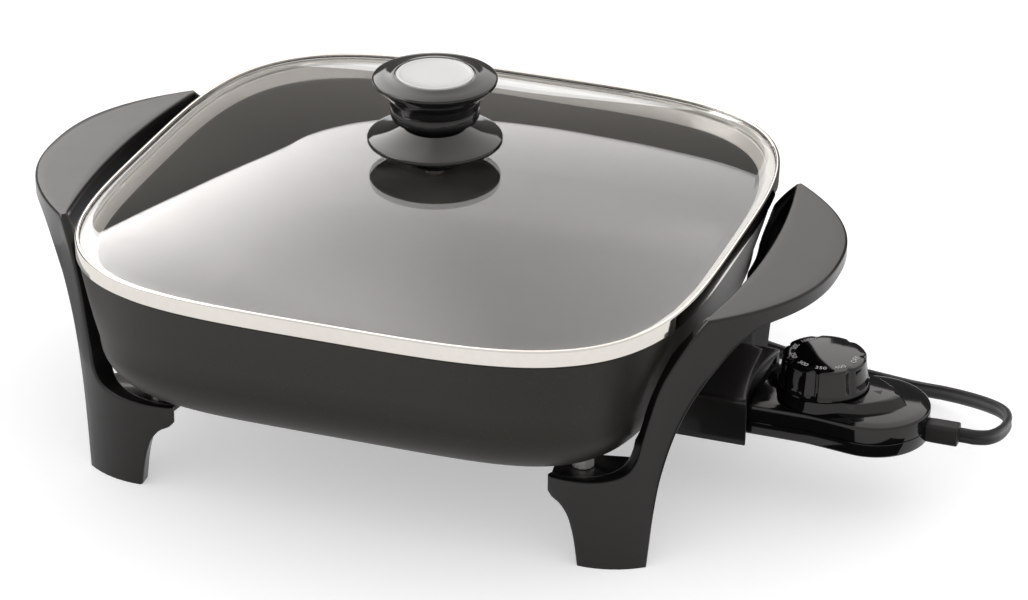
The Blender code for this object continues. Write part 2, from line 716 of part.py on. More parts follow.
def element_path():
    """A loop of rounded corners that starts and ends at the two terminals."""
    corners = [(PIN_BASE_X, PIN_SPREAD), (ELEMENT_LEG_X, PIN_SPREAD),
               (ELEMENT_LEG_X, ELEMENT_HALF_WIDTH), (-ELEMENT_HALF_LENGTH, ELEMENT_HALF_WIDTH)]
    corners += [(x, -y) for x, y in reversed(corners)]
    path = [Vector(corners[0])]
    for before, corner, after in zip(corners, corners[1:], corners[2:]):
        bend = ELEMENT_NECK_BEND if abs(corner[1]) == PIN_SPREAD else ELEMENT_BEND
        corner = Vector(corner)
        back, on = (Vector(before) - corner).normalized(), (Vector(after) - corner).normalized()
        for k in range(7):
            turn = math.pi / 2 * k / 6
            path.append(corner + bend * (back * (1 - math.sin(turn)) + on * (1 - math.cos(turn))))
    path.append(Vector(corners[-1]))
    return [(point.x, point.y, PROBE_HEIGHT) for point in path]


def make_element(sheath, steel, ceramic, parent):
    tube("heating_element", element_path(), ELEMENT_RADIUS, 2, sheath, parent)
    for side, end in ((-1, "front"), (1, "rear")):
        place = (PIN_BASE_X + GAP, side * PIN_SPREAD, PROBE_HEIGHT)
        along_x(turned("terminal_pin_" + end,
                       [(PIN_RADIUS, 0), (PIN_RADIUS, PIN_END_X - PIN_BASE_X - EDGE),
                        (PIN_RADIUS - EDGE / 2, PIN_END_X - PIN_BASE_X)],
                       steel, parent, place, SMALL_ROUND_POINTS))
        bore = PIN_RADIUS + GAP
        along_x(turned("terminal_bushing_" + end,
                       [(bore, 0), (BUSHING_RADIUS, 0), (BUSHING_RADIUS, BUSHING_LENGTH),
                        (bore, BUSHING_LENGTH)],
                       ceramic, parent, place, SMALL_ROUND_POINTS, closed=True))


# Terminal guard


def make_guard(material, steel, parent):
    across = np.linspace(-1, 1, 9)
    inner_half = GUARD_HALF_WIDTH - GUARD_WALL

    def section(x, half, top, scoop):
        row = [(x, -half, GUARD_BOTTOM), (x, -half, (top + GUARD_BOTTOM) / 2)]
        row += [(x - scoop * (1 - share ** 2), half * share, top) for share in across]
        return row + [(x, half, (top + GUARD_BOTTOM) / 2), (x, half, GUARD_BOTTOM)]

    build = bmesh.new()
    slab(build,
         [section(GUARD_START_X, GUARD_HALF_WIDTH, GUARD_TOP, 0),
          section(GUARD_END_X, GUARD_HALF_WIDTH, GUARD_TOP, GUARD_SCOOP)],
         [section(GUARD_START_X, inner_half, GUARD_TOP - GUARD_WALL, 0),
          section(GUARD_END_X, inner_half, GUARD_TOP - GUARD_WALL, GUARD_SCOOP)])
    guard = add_object("terminal_guard", build, material, parent)

    ear_top = PAN_BOTTOM_HEIGHT - GUARD_EAR_DROP - GAP
    ear_start = GUARD_EAR_X - GUARD_EAR_HALF_LENGTH
    ear_end = GUARD_EAR_X + GUARD_EAR_HALF_LENGTH
    rise = [(x, pan_underside(PAN_HALF_LENGTH - x) - GUARD_CLEARANCE)
            for x in np.linspace(ear_end + GAP, GUARD_START_X, 6)]
    rise = [(x, min(z, GUARD_TOP - EDGE)) for x, z in rise]
    rail = [(ear_start, GUARD_BOTTOM + EDGE), (GUARD_START_X + GUARD_WALL, GUARD_BOTTOM + EDGE),
            (GUARD_START_X + GUARD_WALL, rise[-1][1]), *reversed(rise), (ear_end, ear_top),
            (ear_start, ear_top)]
    rails = bmesh.new()
    ears = bmesh.new()
    holes = bmesh.new()
    for side in (-1, 1):
        near, far = side * (inner_half + EDGE / 4), side * (GUARD_HALF_WIDTH - EDGE / 4)
        spot = bmesh.new()
        loft(spot, [[(x, y, z) for x, z in rail] for y in (near, far)])
        take_over(rails, spot, (0, 0, 0))
        spot = bmesh.new()
        ends = sorted((side * (GUARD_EAR_Y - GUARD_BOSS_RADIUS), side * (inner_half + GUARD_WALL / 2)))
        box(spot, (ear_start + EDGE / 4, ends[0], ear_top - GUARD_EAR_THICKNESS),
            (ear_end - EDGE / 4, ends[1], ear_top))
        take_over(ears, spot, (0, 0, 0))
        spot = bmesh.new()
        loft(spot, [circle(GUARD_SCREW_RADIUS + GAP, z, SMALL_ROUND_POINTS)
                    for z in (ear_top - GUARD_EAR_THICKNESS - OVERRUN, ear_top + OVERRUN)])
        take_over(holes, spot, (GUARD_EAR_X, side * GUARD_EAR_Y, 0))
    combine(guard, helper("guard_rails", rails, parent), "UNION")
    combine(guard, helper("guard_ears", ears, parent), "UNION")
    combine(guard, helper("guard_holes", holes, parent), "DIFFERENCE")

    head_top = ear_top - GUARD_EAR_THICKNESS - GAP
    for side, end in ((-1, "front"), (1, "rear")):
        turned("guard_screw_" + end,
               [(GUARD_SCREW_HEAD_RADIUS - EDGE, head_top - SCREW_HEAD_HEIGHT),
                (GUARD_SCREW_HEAD_RADIUS, head_top - SCREW_HEAD_HEIGHT / 2),
                (GUARD_SCREW_HEAD_RADIUS, head_top), (GUARD_SCREW_RADIUS, head_top),
                (GUARD_SCREW_RADIUS, PAN_BOTTOM_HEIGHT + SCREW_BITE)],
               steel, parent, (GUARD_EAR_X, side * GUARD_EAR_Y, 0), SMALL_ROUND_POINTS)


# Lid


def lid_ring(inset, z, power=RIM_POWER):
    return rounded_ring(PAN_HALF_LENGTH + LID_OVERHANG - inset, PAN_HALF_WIDTH + LID_OVERHANG - inset,
                        power, z)


def make_lid(steel, glass, rubber, parent):
    ledge_top = LID_BASE + LID_SHEET
    skirt_inset = LID_LEDGE_WIDTH - LID_SHEET
    profile = [
        (0, LID_BASE), (0, LID_TOP - EDGE / 2), (EDGE / 2, LID_TOP), (LID_LIP_WIDTH, LID_TOP),
        (LID_LIP_WIDTH, LID_TOP - LID_SHEET), (LID_SHEET, LID_TOP - LID_SHEET), (LID_SHEET, ledge_top),
        (LID_LEDGE_WIDTH, ledge_top), (LID_LEDGE_WIDTH, LID_BASE - LID_SKIRT_DROP),
        (skirt_inset, LID_BASE - LID_SKIRT_DROP), (skirt_inset, LID_BASE),
    ]
    build = bmesh.new()
    loft(build, [lid_ring(inset, z) for inset, z in profile], closed=True)
    add_object("lid_rim", build, steel, parent)

    edge_inset = LID_SHEET + GAP
    seal_top = GLASS_EDGE_TOP - GLASS_THICKNESS - GAP
    build = bmesh.new()
    loft(build, [lid_ring(inset, z) for inset, z in (
        (edge_inset, ledge_top + GAP), (edge_inset, seal_top),
        (LID_LEDGE_WIDTH - EDGE, seal_top), (LID_LEDGE_WIDTH - EDGE, ledge_top + GAP))], closed=True)
    add_object("lid_seal", build, rubber, parent)

    # The glass is flat under the lip, then rises as a dome to the knob's hole
    dome_inset = edge_inset + GLASS_FLANGE
    half_x = PAN_HALF_LENGTH + LID_OVERHANG - dome_inset
    half_y = PAN_HALF_WIDTH + LID_OVERHANG - dome_inset
    shares = (1, 0.9, 0.75, 0.56, 0.36, 0.17)

    def dome(level):
        rings = []
        for share in shares:
            power = 2 + (RIM_POWER - 2) * share ** 2
            rise = GLASS_RISE * (1 - share ** DOME_POWER)
            rings.append(rounded_ring(half_x * share, half_y * share, power, level + rise))
        rings.append(rounded_ring(GLASS_HOLE_RADIUS, GLASS_HOLE_RADIUS, 2, level + GLASS_RISE))
        return rings

    top = [lid_ring(edge_inset, GLASS_EDGE_TOP)] + dome(GLASS_EDGE_TOP)
    under_level = GLASS_EDGE_TOP - GLASS_THICKNESS
    under = dome(under_level)[::-1] + [lid_ring(edge_inset, under_level)]
    build = bmesh.new()
    loft(build, top + under, closed=True)
    add_object("lid_glass", build, glass, parent)


def make_knob(black, silver, steel, rubber, parent):
    bore = KNOB_SCREW_RADIUS + GAP
    hub_low = APEX + GASKET_THICKNESS + 2 * GAP
    disc_low = hub_low + HUB_HEIGHT
    disc_top = disc_low + DISC_THICKNESS
    turned("knob_gasket_top",
           [(bore, APEX + GAP), (GASKET_RADIUS, APEX + GAP), (GASKET_RADIUS, hub_low - GAP),
            (bore, hub_low - GAP)], rubber, parent, count=ROUND_POINTS, closed=True)
    turned("knob_guard_disc",
           [(bore, hub_low), (HUB_RADIUS, hub_low), (HUB_RADIUS, disc_low),
            (DISC_RADIUS - EDGE, disc_low), (DISC_RADIUS, disc_low + EDGE), (DISC_RADIUS, disc_top - EDGE),
            (DISC_RADIUS - EDGE, disc_top), (DISC_RADIUS - 2 * EDGE, disc_top),
            (DISC_RADIUS - 4 * EDGE, disc_top - EDGE / 2), (bore, disc_top - EDGE / 2)],
           black, parent, count=ROUND_POINTS, closed=True)

    body_low = disc_top - EDGE / 2 + GAP
    neck_low = body_low + THROAT_HEIGHT
    cap_low = neck_low + NECK_HEIGHT
    cap_top = cap_low + CAP_HEIGHT
    recess = cap_top - BADGE_THICKNESS
    seat_radius = BADGE_RADIUS + GAP
    hole_top = body_low + KNOB_SCREW_REACH + GAP
    turned("knob_body",
           [(bore, hole_top), (bore, body_low), (THROAT_RADIUS, body_low), (THROAT_RADIUS, neck_low),
            (THROAT_RADIUS + EDGE, neck_low + EDGE), (THROAT_RADIUS + EDGE, neck_low + 2 * EDGE),
            (NECK_RADIUS - EDGE, neck_low + 3 * EDGE), (NECK_RADIUS, neck_low + 4 * EDGE),
            (NECK_RADIUS, cap_low - 5 * EDGE), (NECK_RADIUS - EDGE / 2, cap_low - 4 * EDGE),
            (NECK_RADIUS + EDGE / 2, cap_low - 2 * EDGE), (NECK_RADIUS + EDGE, cap_low),
            (CAP_RADIUS - EDGE, cap_low + CAP_HEIGHT / 2), (CAP_RADIUS, cap_top - 3 * EDGE),
            (CAP_RADIUS - EDGE / 2, cap_top - 3 * EDGE / 2), (seat_radius + EDGE, cap_top),
            (seat_radius, cap_top), (seat_radius, recess - GAP)],
           black, parent, count=ROUND_POINTS)
    turned("knob_badge",
           [(BADGE_RADIUS, recess), (BADGE_RADIUS, cap_top), (BADGE_RADIUS - EDGE / 4, cap_top + GAP)],
           silver, parent, count=ROUND_POINTS)

    glass_low = APEX - GLASS_THICKNESS
    gasket_low = glass_low - GAP - GASKET_THICKNESS
    washer_low = gasket_low - GAP - WASHER_THICKNESS
    turned("knob_gasket_under",
           [(bore, gasket_low), (GASKET_RADIUS, gasket_low), (GASKET_RADIUS, glass_low - GAP),
            (bore, glass_low - GAP)], rubber, parent, closed=True)
    turned("knob_washer",
           [(bore, washer_low), (WASHER_RADIUS, washer_low), (WASHER_RADIUS, gasket_low - GAP),
            (bore, gasket_low - GAP)], steel, parent, closed=True)
    head_top = washer_low - GAP
    turned("knob_screw",
           [(KNOB_SCREW_HEAD_RADIUS - EDGE, head_top - KNOB_SCREW_HEAD_HEIGHT),
            (KNOB_SCREW_HEAD_RADIUS, head_top - KNOB_SCREW_HEAD_HEIGHT / 2),
            (KNOB_SCREW_HEAD_RADIUS, head_top), (KNOB_SCREW_RADIUS, head_top),
            (KNOB_SCREW_RADIUS, body_low + KNOB_SCREW_REACH)],
           steel, parent, count=SMALL_ROUND_POINTS)


# Heat control


def control_outline(inset, z):
    """The housing's plan: a neck that widens to a round end, drawn in by inset."""
    half = CONTROL_NECK_HALF_WIDTH - inset
    radius = CONTROL_END_RADIUS - inset
    start = CONTROL_START_X + inset
    points = [(start, half), (start, -half), (CONTROL_NECK_END_X, -half)]
    for k in range(15):
        turn = math.radians(-98 + 196 * k / 14)
        points.append((CONTROL_END_X + radius * math.cos(turn), radius * math.sin(turn)))
    points.append((CONTROL_NECK_END_X, half))
    return [(x, y, z) for x, y in points]


def dome_outline(inset, z):
    """A drop shape round the dial, with its point towards the cord."""
    radius = DOME_RADIUS - inset
    tip = DOME_TIP_X - 2 * inset
    lean = math.acos(radius / (tip - DIAL_X))
    points = [(tip, 0, z)]
    for k in range(17):
        turn = lean + (2 * math.pi - 2 * lean) * k / 16
        points.append((DIAL_X + radius * math.cos(turn), radius * math.sin(turn), z))
    return points


def control_cutters(parent):
    cuts = bmesh.new()
    for y, radius in ((0, PROBE_RADIUS + GAP), (PIN_SPREAD, TERMINAL_RADIUS + GAP),
                      (-PIN_SPREAD, TERMINAL_RADIUS + GAP)):
        spot = bmesh.new()
        loft(spot, [[(x, y + radius * north, PROBE_HEIGHT + radius * up)
                     for north, up, _ in circle(1, 0, SMALL_ROUND_POINTS)]
                    for x in (CONTROL_START_X - OVERRUN, CONTROL_START_X + CONTROL_WALL + OVERRUN)])
        take_over(cuts, spot, (0, 0, 0))
    spot = bmesh.new()
    box(spot, (CONTROL_REACH - CONTROL_WALL - OVERRUN, -RELIEF_HALF_WIDTH - GAP,
               CORD_EXIT_HEIGHT - RELIEF_HALF_HEIGHT - GAP),
        (CONTROL_REACH + OVERRUN, RELIEF_HALF_WIDTH + GAP, CORD_EXIT_HEIGHT + RELIEF_HALF_HEIGHT + GAP))
    take_over(cuts, spot, (0, 0, 0))
    return helper("control_cuts", cuts, parent)


def make_control(black, steel, ceramic, brass, parent):
    cuts = control_cutters(parent)
    dome_base = CONTROL_TOP + CONTROL_CROWN

    upper = bmesh.new()
    loft(upper, [
        control_outline(0, CONTROL_SEAM + GAP / 2), control_outline(0, CONTROL_TOP - EDGE / 2),
        control_outline(EDGE / 2, CONTROL_TOP), control_outline(4 * EDGE, dome_base),
    ])
    housing = add_object("control_upper_housing", upper, black, parent)
    dome = bmesh.new()
    loft(dome, [dome_outline(0, CONTROL_TOP - EDGE), dome_outline(0, dome_base),
                dome_outline(DOME_SLOPE, dome_base + DOME_HEIGHT - EDGE / 2),
                dome_outline(DOME_SLOPE + EDGE / 2, dome_base + DOME_HEIGHT)])
    combine(housing, helper("control_dome", dome, parent), "UNION")
    hollow = bmesh.new()
    loft(hollow, [control_outline(CONTROL_WALL, CONTROL_SEAM - OVERRUN),
                  control_outline(CONTROL_WALL, CONTROL_TOP - CONTROL_WALL)])
    combine(housing, helper("upper_hollow", hollow, parent), "DIFFERENCE")
    bosses = bmesh.new()
    for side in (-1, 1):
        spot = bmesh.new()
        loft(spot, [circle(HOUSING_BOSS_RADIUS, z, SMALL_ROUND_POINTS)
                    for z in (CONTROL_SEAM + GAP, CONTROL_TOP - CONTROL_WALL / 2)])
        take_over(bosses, spot, (HOUSING_SCREW_X, side * HOUSING_SCREW_Y, 0))
    combine(housing, helper("upper_bosses", bosses, parent), "UNION")
    combine(housing, cuts, "DIFFERENCE")
    holes = bmesh.new()
    for side in (-1, 1):
        spot = bmesh.new()
        loft(spot, [circle(HOUSING_SCREW_RADIUS + GAP, z, SMALL_ROUND_POINTS)
                    for z in (CONTROL_SEAM - OVERRUN, CONTROL_BOTTOM + HOUSING_SCREW_REACH + GAP)])
        take_over(holes, spot, (HOUSING_SCREW_X, side * HOUSING_SCREW_Y, 0))
    spot = bmesh.new()
    loft(spot, [circle(SHAFT_RADIUS + GAP, z, SMALL_ROUND_POINTS)
                for z in (CONTROL_TOP - CONTROL_WALL - OVERRUN, dome_base + DOME_HEIGHT + OVERRUN)])
    take_over(holes, spot, (DIAL_X, 0, 0))
    combine(housing, helper("upper_holes", holes, parent), "DIFFERENCE")

    lower = bmesh.new()
    loft(lower, [control_outline(EDGE, CONTROL_BOTTOM), control_outline(0, CONTROL_BOTTOM + EDGE),
                 control_outline(0, CONTROL_SEAM - GAP / 2),
                 control_outline(CONTROL_WALL, CONTROL_SEAM - GAP / 2),
                 control_outline(CONTROL_WALL, CONTROL_BOTTOM + CONTROL_WALL)])
    tray = add_object("control_lower_housing", lower, black, parent)
    bosses = bmesh.new()
    holes = bmesh.new()
    for side in (-1, 1):
        place = (HOUSING_SCREW_X, side * HOUSING_SCREW_Y, 0)
        spot = bmesh.new()
        loft(spot, [circle(HOUSING_BOSS_RADIUS, z, SMALL_ROUND_POINTS)
                    for z in (CONTROL_BOTTOM + CONTROL_WALL / 2, CONTROL_SEAM - GAP)])
        take_over(bosses, spot, place)
        spot = bmesh.new()
        loft(spot, [circle(radius, z, SMALL_ROUND_POINTS) for radius, z in (
            (HOUSING_SCREW_HEAD_RADIUS + GAP, CONTROL_BOTTOM - OVERRUN),
            (HOUSING_SCREW_HEAD_RADIUS + GAP, CONTROL_BOTTOM + CONTROL_WALL),
            (HOUSING_SCREW_RADIUS + GAP, CONTROL_BOTTOM + CONTROL_WALL),
            (HOUSING_SCREW_RADIUS + GAP, CONTROL_SEAM + OVERRUN))])
        take_over(holes, spot, place)
    combine(tray, helper("lower_bosses", bosses, parent), "UNION")
    combine(tray, cuts, "DIFFERENCE")
    combine(tray, helper("lower_holes", holes, parent), "DIFFERENCE")
    for side, end in ((-1, "front"), (1, "rear")):
        head_low = CONTROL_BOTTOM + EDGE / 4
        head_top = CONTROL_BOTTOM + CONTROL_WALL - GAP
        turned("housing_screw_" + end,
               [(HOUSING_SCREW_HEAD_RADIUS, head_low), (HOUSING_SCREW_HEAD_RADIUS, head_top),
                (HOUSING_SCREW_RADIUS, head_top),
                (HOUSING_SCREW_RADIUS, CONTROL_BOTTOM + HOUSING_SCREW_REACH)],
               steel, parent, (HOUSING_SCREW_X, side * HOUSING_SCREW_Y, 0), SMALL_ROUND_POINTS)

    # Probe, terminals and switch
    along_x(turned("probe_rod",
                   [(PROBE_RADIUS - EDGE, 0), (PROBE_RADIUS, EDGE), (PROBE_RADIUS, PROBE_ROOT_X - PROBE_TIP_X)],
                   steel, parent, (PROBE_TIP_X, 0, PROBE_HEIGHT), SMALL_ROUND_POINTS))
    bore = PIN_RADIUS + GAP
    for side, end in ((-1, "front"), (1, "rear")):
        along_x(turned("female_terminal_" + end,
                       [(bore, 0), (TERMINAL_RADIUS, 0), (TERMINAL_RADIUS, TERMINAL_LENGTH),
                        (bore, TERMINAL_LENGTH)],
                       brass, parent, (CONTROL_START_X + EDGE, side * PIN_SPREAD, PROBE_HEIGHT),
                       SMALL_ROUND_POINTS, closed=True))
    floor = CONTROL_BOTTOM + CONTROL_WALL + GAP
    frame_top = floor + FRAME_THICKNESS
    build = bmesh.new()
    box(build, (FRAME_START_X, -FRAME_HALF_WIDTH, floor), (FRAME_END_X, FRAME_HALF_WIDTH, frame_top))
    add_object("switch_frame", build, steel, parent)
    block_low = frame_top + GAP
    block_top = block_low + BLOCK_HEIGHT
    build = bmesh.new()
    box(build, (FRAME_END_X - BLOCK_LENGTH, -ARM_HALF_WIDTH * 2, block_low),
        (FRAME_END_X, ARM_HALF_WIDTH * 2, block_top))
    add_object("switch_block", build, ceramic, parent)
    arm_low = block_top + GAP
    build = bmesh.new()
    box(build, (FRAME_START_X, -ARM_HALF_WIDTH, arm_low),
        (FRAME_END_X, ARM_HALF_WIDTH, arm_low + ARM_THICKNESS))
    add_object("contact_arm", build, brass, parent)
    build = bmesh.new()
    box(build, (FRAME_START_X, -ARM_HALF_WIDTH, block_low),
        (FRAME_END_X - BLOCK_LENGTH - GAP, ARM_HALF_WIDTH, block_low + ARM_THICKNESS))
    add_object("fixed_contact", build, brass, parent)
    return arm_low + ARM_THICKNESS + GAP


def dial_ring(radius, z, flute):
    points = []
    count = DIAL_FLUTES * 8
    spread = 2 * math.pi / DIAL_FLUTES
    offsets = (-FLUTE_HALF_ANGLE, -FLUTE_HALF_ANGLE / 2, 0, FLUTE_HALF_ANGLE / 2, FLUTE_HALF_ANGLE)
    plain = (spread - 2 * FLUTE_HALF_ANGLE) / 4
    for k in range(count):
        number, step = divmod(k, 8)
        turn = FLUTE_PHASE + spread * number
        reach = radius
        if step < 5:
            turn += offsets[step]
            reach -= flute * math.cos(math.pi / 2 * (step - 2) / 2) ** 2
        else:
            turn += FLUTE_HALF_ANGLE + plain * (step - 4)
        points.append((reach * math.cos(turn), reach * math.sin(turn), z))
    return points


def make_dial(black, steel, shaft_low, parent):
    base = CONTROL_TOP + CONTROL_CROWN + DOME_HEIGHT + RUNNING_GAP
    top = base + DIAL_HEIGHT
    build = bmesh.new()
    loft(build, [
        dial_ring(SHAFT_RADIUS + GAP, base + SHAFT_HOLD + GAP, 0), dial_ring(SHAFT_RADIUS + GAP, base, 0),
        dial_ring(DIAL_BASE_RADIUS, base, 0), dial_ring(DIAL_BASE_RADIUS, base + EDGE, 0),
        dial_ring((2 * DIAL_TOP_RADIUS + DIAL_BASE_RADIUS) / 3, base + DIAL_HEIGHT / 3, FLUTE_DEPTH),
        dial_ring(DIAL_TOP_RADIUS, top - EDGE / 2, FLUTE_DEPTH),
        dial_ring(DIAL_TOP_RADIUS - EDGE / 2, top, FLUTE_DEPTH),
        dial_ring(DIAL_TOP_RADIUS / 2, top + DIAL_CROWN, 0),
    ])
    add_object("dial_knob", build, black, parent)
    turned("dial_shaft", [(SHAFT_RADIUS, shaft_low), (SHAFT_RADIUS, base + SHAFT_HOLD)],
           steel, parent, count=SMALL_ROUND_POINTS)


# Cord


def relief_ring(x, half_width, half_height):
    corner = RELIEF_HALF_WIDTH / 4
    points = []
    for east, north in ((1, 1), (-1, 1), (-1, -1), (1, -1)):
        first = math.atan2(north, east) - math.pi / 4
        for k in range(3):
            turn = first + math.pi / 4 * k
            points.append((x, east * (half_width - corner) + corner * math.cos(turn),
                           north * (half_height - corner) + corner * math.sin(turn)))
    return points


def coil_path():
    """The put-away cord: a spiral in along the floor, up one layer, and out again on top of it."""
    count = int(COIL_TURNS * COIL_POINTS_A_TURN)
    half = COIL_TURNS / 2
    points = [(COIL_X + CORD_WIDTH, COIL_Y - COIL_RADIUS, COIL_LEVEL)]
    for k in range(count + 1):
        turns = k / COIL_POINTS_A_TURN
        radius = COIL_RADIUS - COIL_PITCH * (half - abs(turns - half))
        climb = min(1.0, max(0.0, (turns - half + 0.25) * 2))
        level = COIL_LEVEL + COIL_PITCH * (1 - math.cos(math.pi * climb)) / 2
        turn = -math.pi / 2 - 2 * math.pi * turns
        points.append((COIL_X + radius * math.cos(turn), COIL_Y + radius * math.sin(turn), level))
    down = COIL_TAIL - TAIL_LEVEL_RUN - CORD_WIDTH
    plug_level = PLUG_HALF_THICKNESS + FLOOR_CLEARANCE
    top_level = COIL_LEVEL + COIL_PITCH
    for k in range(1, 3):
        points.append((COIL_X - TAIL_LEVEL_RUN * k / 2, COIL_Y - COIL_RADIUS, top_level))
    for k in range(1, 5):
        fall = (1 - math.cos(math.pi * k / 4)) / 2
        points.append((COIL_X - TAIL_LEVEL_RUN - down * k / 4, COIL_Y - COIL_RADIUS,
                       top_level + (plug_level - top_level) * fall))
    points.append((COIL_X - COIL_TAIL, COIL_Y - COIL_RADIUS, plug_level))
    return points


def least_self_gap(points, width):
    """The least space between stretches of one tube that aren't next to each other."""
    path = np.array(points)
    fine = []
    for first, last in zip(path, path[1:]):
        fine += [first + (last - first) * k / 6 for k in range(6)]
    fine = np.array(fine)
    runs = np.concatenate([[0], np.cumsum(np.linalg.norm(np.diff(fine, axis=0), axis=1))])
    least = None
    for k in range(len(fine)):
        apart = np.abs(runs - runs[k]) > 3 * width
        if apart.any():
            near = np.linalg.norm(fine[apart] - fine[k], axis=1).min() - width
            least = near if least is None else min(least, near)
    return least


def length_of(points):
    return float(np.linalg.norm(np.diff(np.array(points), axis=0), axis=1).sum())


def make_cord(rubber, steel, parent):
    inside = CONTROL_REACH - CONTROL_WALL - GAP
    flange_width = RELIEF_HALF_WIDTH + RELIEF_FLANGE
    build = bmesh.new()
    loft(build, [relief_ring(inside - RELIEF_FLANGE_LENGTH, flange_width, RELIEF_FLANGE_HALF_HEIGHT),
                 relief_ring(inside - EDGE, flange_width, RELIEF_FLANGE_HALF_HEIGHT),
                 relief_ring(inside - EDGE + GAP, RELIEF_HALF_WIDTH, RELIEF_FLANGE_HALF_HEIGHT),
                 relief_ring(inside - EDGE + 2 * GAP, RELIEF_HALF_WIDTH, RELIEF_HALF_HEIGHT),
                 relief_ring(RELIEF_END_X, RELIEF_HALF_WIDTH, RELIEF_HALF_HEIGHT)])
    add_object("strain_relief", build, rubber, parent, (0, 0, CORD_EXIT_HEIGHT))

    start = RELIEF_END_X + GAP
    straight = [(start + CORD_WIDTH * share, 0, CORD_EXIT_HEIGHT) for share in (0, 0.5, 1)]
    near_coil = COIL_X + CORD_WIDTH + GAP
    finish = [(near_coil + CORD_WIDTH * share, COIL_Y - COIL_RADIUS, COIL_LEVEL) for share in (1, 0)]
    route = smooth_points([straight[-1], *CORD_ROUTE, finish[0]], FREE_POINTS)
    free = [*straight[:-1], *map(tuple, route), finish[-1]]
    tube("cord_free", free, CORD_RADIUS, 2, rubber, parent)
    coil = coil_path()
    tube("cord_coil", coil, CORD_RADIUS, 1, rubber, parent)
    gap = least_self_gap(coil, CORD_WIDTH)
    print(f"cord {length_of(free) + length_of(coil):.3f} m, coil's least gap to itself {gap * 1000:.2f} mm")

    # The tie goes round both layers at the back of the coil
    middle_radius = COIL_RADIUS - COIL_PITCH * COIL_TURNS / 4
    half_width = CORD_RADIUS + TIE_ROOM
    half_height = CORD_RADIUS + COIL_PITCH / 2 + TIE_ROOM
    level = COIL_LEVEL + COIL_PITCH / 2
    rings = []
    for x, grow in ((-1, 0), (-1, 1), (1, 1), (1, 0)):
        wide, tall = half_width + grow * TIE_THICKNESS, half_height + grow * TIE_THICKNESS
        ring = rounded_ring(wide, tall, RIM_POWER, 0, ROUND_POINTS)
        rings.append([(x * TIE_WIDTH / 2, y, z) for y, z, _ in ring])
    build = bmesh.new()
    loft(build, rings, closed=True)
    add_object("cord_tie", build, rubber, parent, (COIL_X, COIL_Y + middle_radius, level))

    plug_face = COIL_X - COIL_TAIL - GAP
    plug_level = PLUG_HALF_THICKNESS + FLOOR_CLEARANCE
    sections = [(0, 0.40, 0.60), (0.12, 0.55, 0.70), (0.30, PLUG_WAIST_SHARE, 0.80), (0.50, 0.80, 0.90),
                (0.68, 1, 1), (0.96, 1, 1), (1, 0.94, 0.94)]
    rings = []
    for share, width_share, height_share in sections:
        ring = rounded_ring(PLUG_HALF_WIDTH * width_share, PLUG_HALF_THICKNESS * height_share, RIM_POWER, 0,
                            SMALL_ROUND_POINTS + 8)
        rings.append([(-PLUG_LENGTH * share, y, z) for y, z, _ in ring])
    build = bmesh.new()
    loft(build, rings)
    add_object("plug_body", build, rubber, parent, (plug_face, COIL_Y - COIL_RADIUS, plug_level))
    for side, end in ((-1, "front"), (1, "rear")):
        build = bmesh.new()
        tip = -BLADE_LENGTH
        outline = [(-GAP, -BLADE_HALF_WIDTH), (-GAP, BLADE_HALF_WIDTH), (tip + EDGE, BLADE_HALF_WIDTH),
                   (tip, BLADE_HALF_WIDTH - EDGE), (tip, EDGE - BLADE_HALF_WIDTH),
                   (tip + EDGE, -BLADE_HALF_WIDTH)]
        loft(build, [[(x, y, z) for x, z in outline] for y in (-BLADE_HALF_THICKNESS, BLADE_HALF_THICKNESS)])
        add_object("plug_blade_" + end, build, steel, parent,
                   (plug_face - PLUG_LENGTH, COIL_Y - COIL_RADIUS + side * BLADE_SPREAD, plug_level))


# The whole skillet


def main():
    for thing in list(bpy.data.objects):
        bpy.data.objects.remove(thing, do_unlink=True)
    surface_of("helper", (0.8, 0.3, 0.1), 0.5, 0)
    coating = surface_of("dark cast coating", (0.045, 0.042, 0.038), 0.38, 0.3)
    black = surface_of("black moulding", (0.018, 0.017, 0.017), 0.16, 0)
    steel = surface_of("polished steel", (0.72, 0.71, 0.69), 0.12, 1)
    sheath = surface_of("element sheath", (0.22, 0.21, 0.20), 0.45, 1)
    glass = surface_of("lid glass", (0.86, 0.88, 0.87), 0.02, 0)
    ceramic = surface_of("white ceramic", (0.83, 0.80, 0.74), 0.5, 0)
    brass = surface_of("brass contact", (0.62, 0.46, 0.20), 0.3, 1)
    rubber = surface_of("black rubber", (0.035, 0.034, 0.033), 0.55, 0)
    silver = surface_of("silver badge", (0.80, 0.79, 0.78), 0.3, 0.6)

    skillet = bpy.data.objects.new("skillet", None)
    lid = bpy.data.objects.new("lid_lift", None)
    control = bpy.data.objects.new("control_pull", None)
    dial = bpy.data.objects.new("dial_turn", None)
    for empty, parent, place in ((skillet, None, (-MIDDLE_X, 0, 0)), (lid, skillet, (0, 0, 0)),
                                 (control, skillet, (0, 0, 0)), (dial, control, (DIAL_X, 0, 0))):
        bpy.context.scene.collection.objects.link(empty)
        empty.parent = parent
        empty.location = place

    make_pan(coating, skillet)
    make_handle("right_handle_leg", 1, black, skillet)
    make_handle("left_handle_leg", -1, black, skillet)
    make_leg_fasteners(steel, skillet)
    make_element(sheath, steel, ceramic, skillet)
    make_guard(black, steel, skillet)
    make_lid(steel, glass, rubber, lid)
    make_knob(black, silver, steel, rubber, lid)
    shaft_low = make_control(black, steel, ceramic, brass, control)
    make_dial(black, steel, shaft_low, dial)
    make_cord(rubber, steel, control)


main()
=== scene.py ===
import math

import bmesh
import bpy
import numpy as np
from mathutils import Matrix, Vector


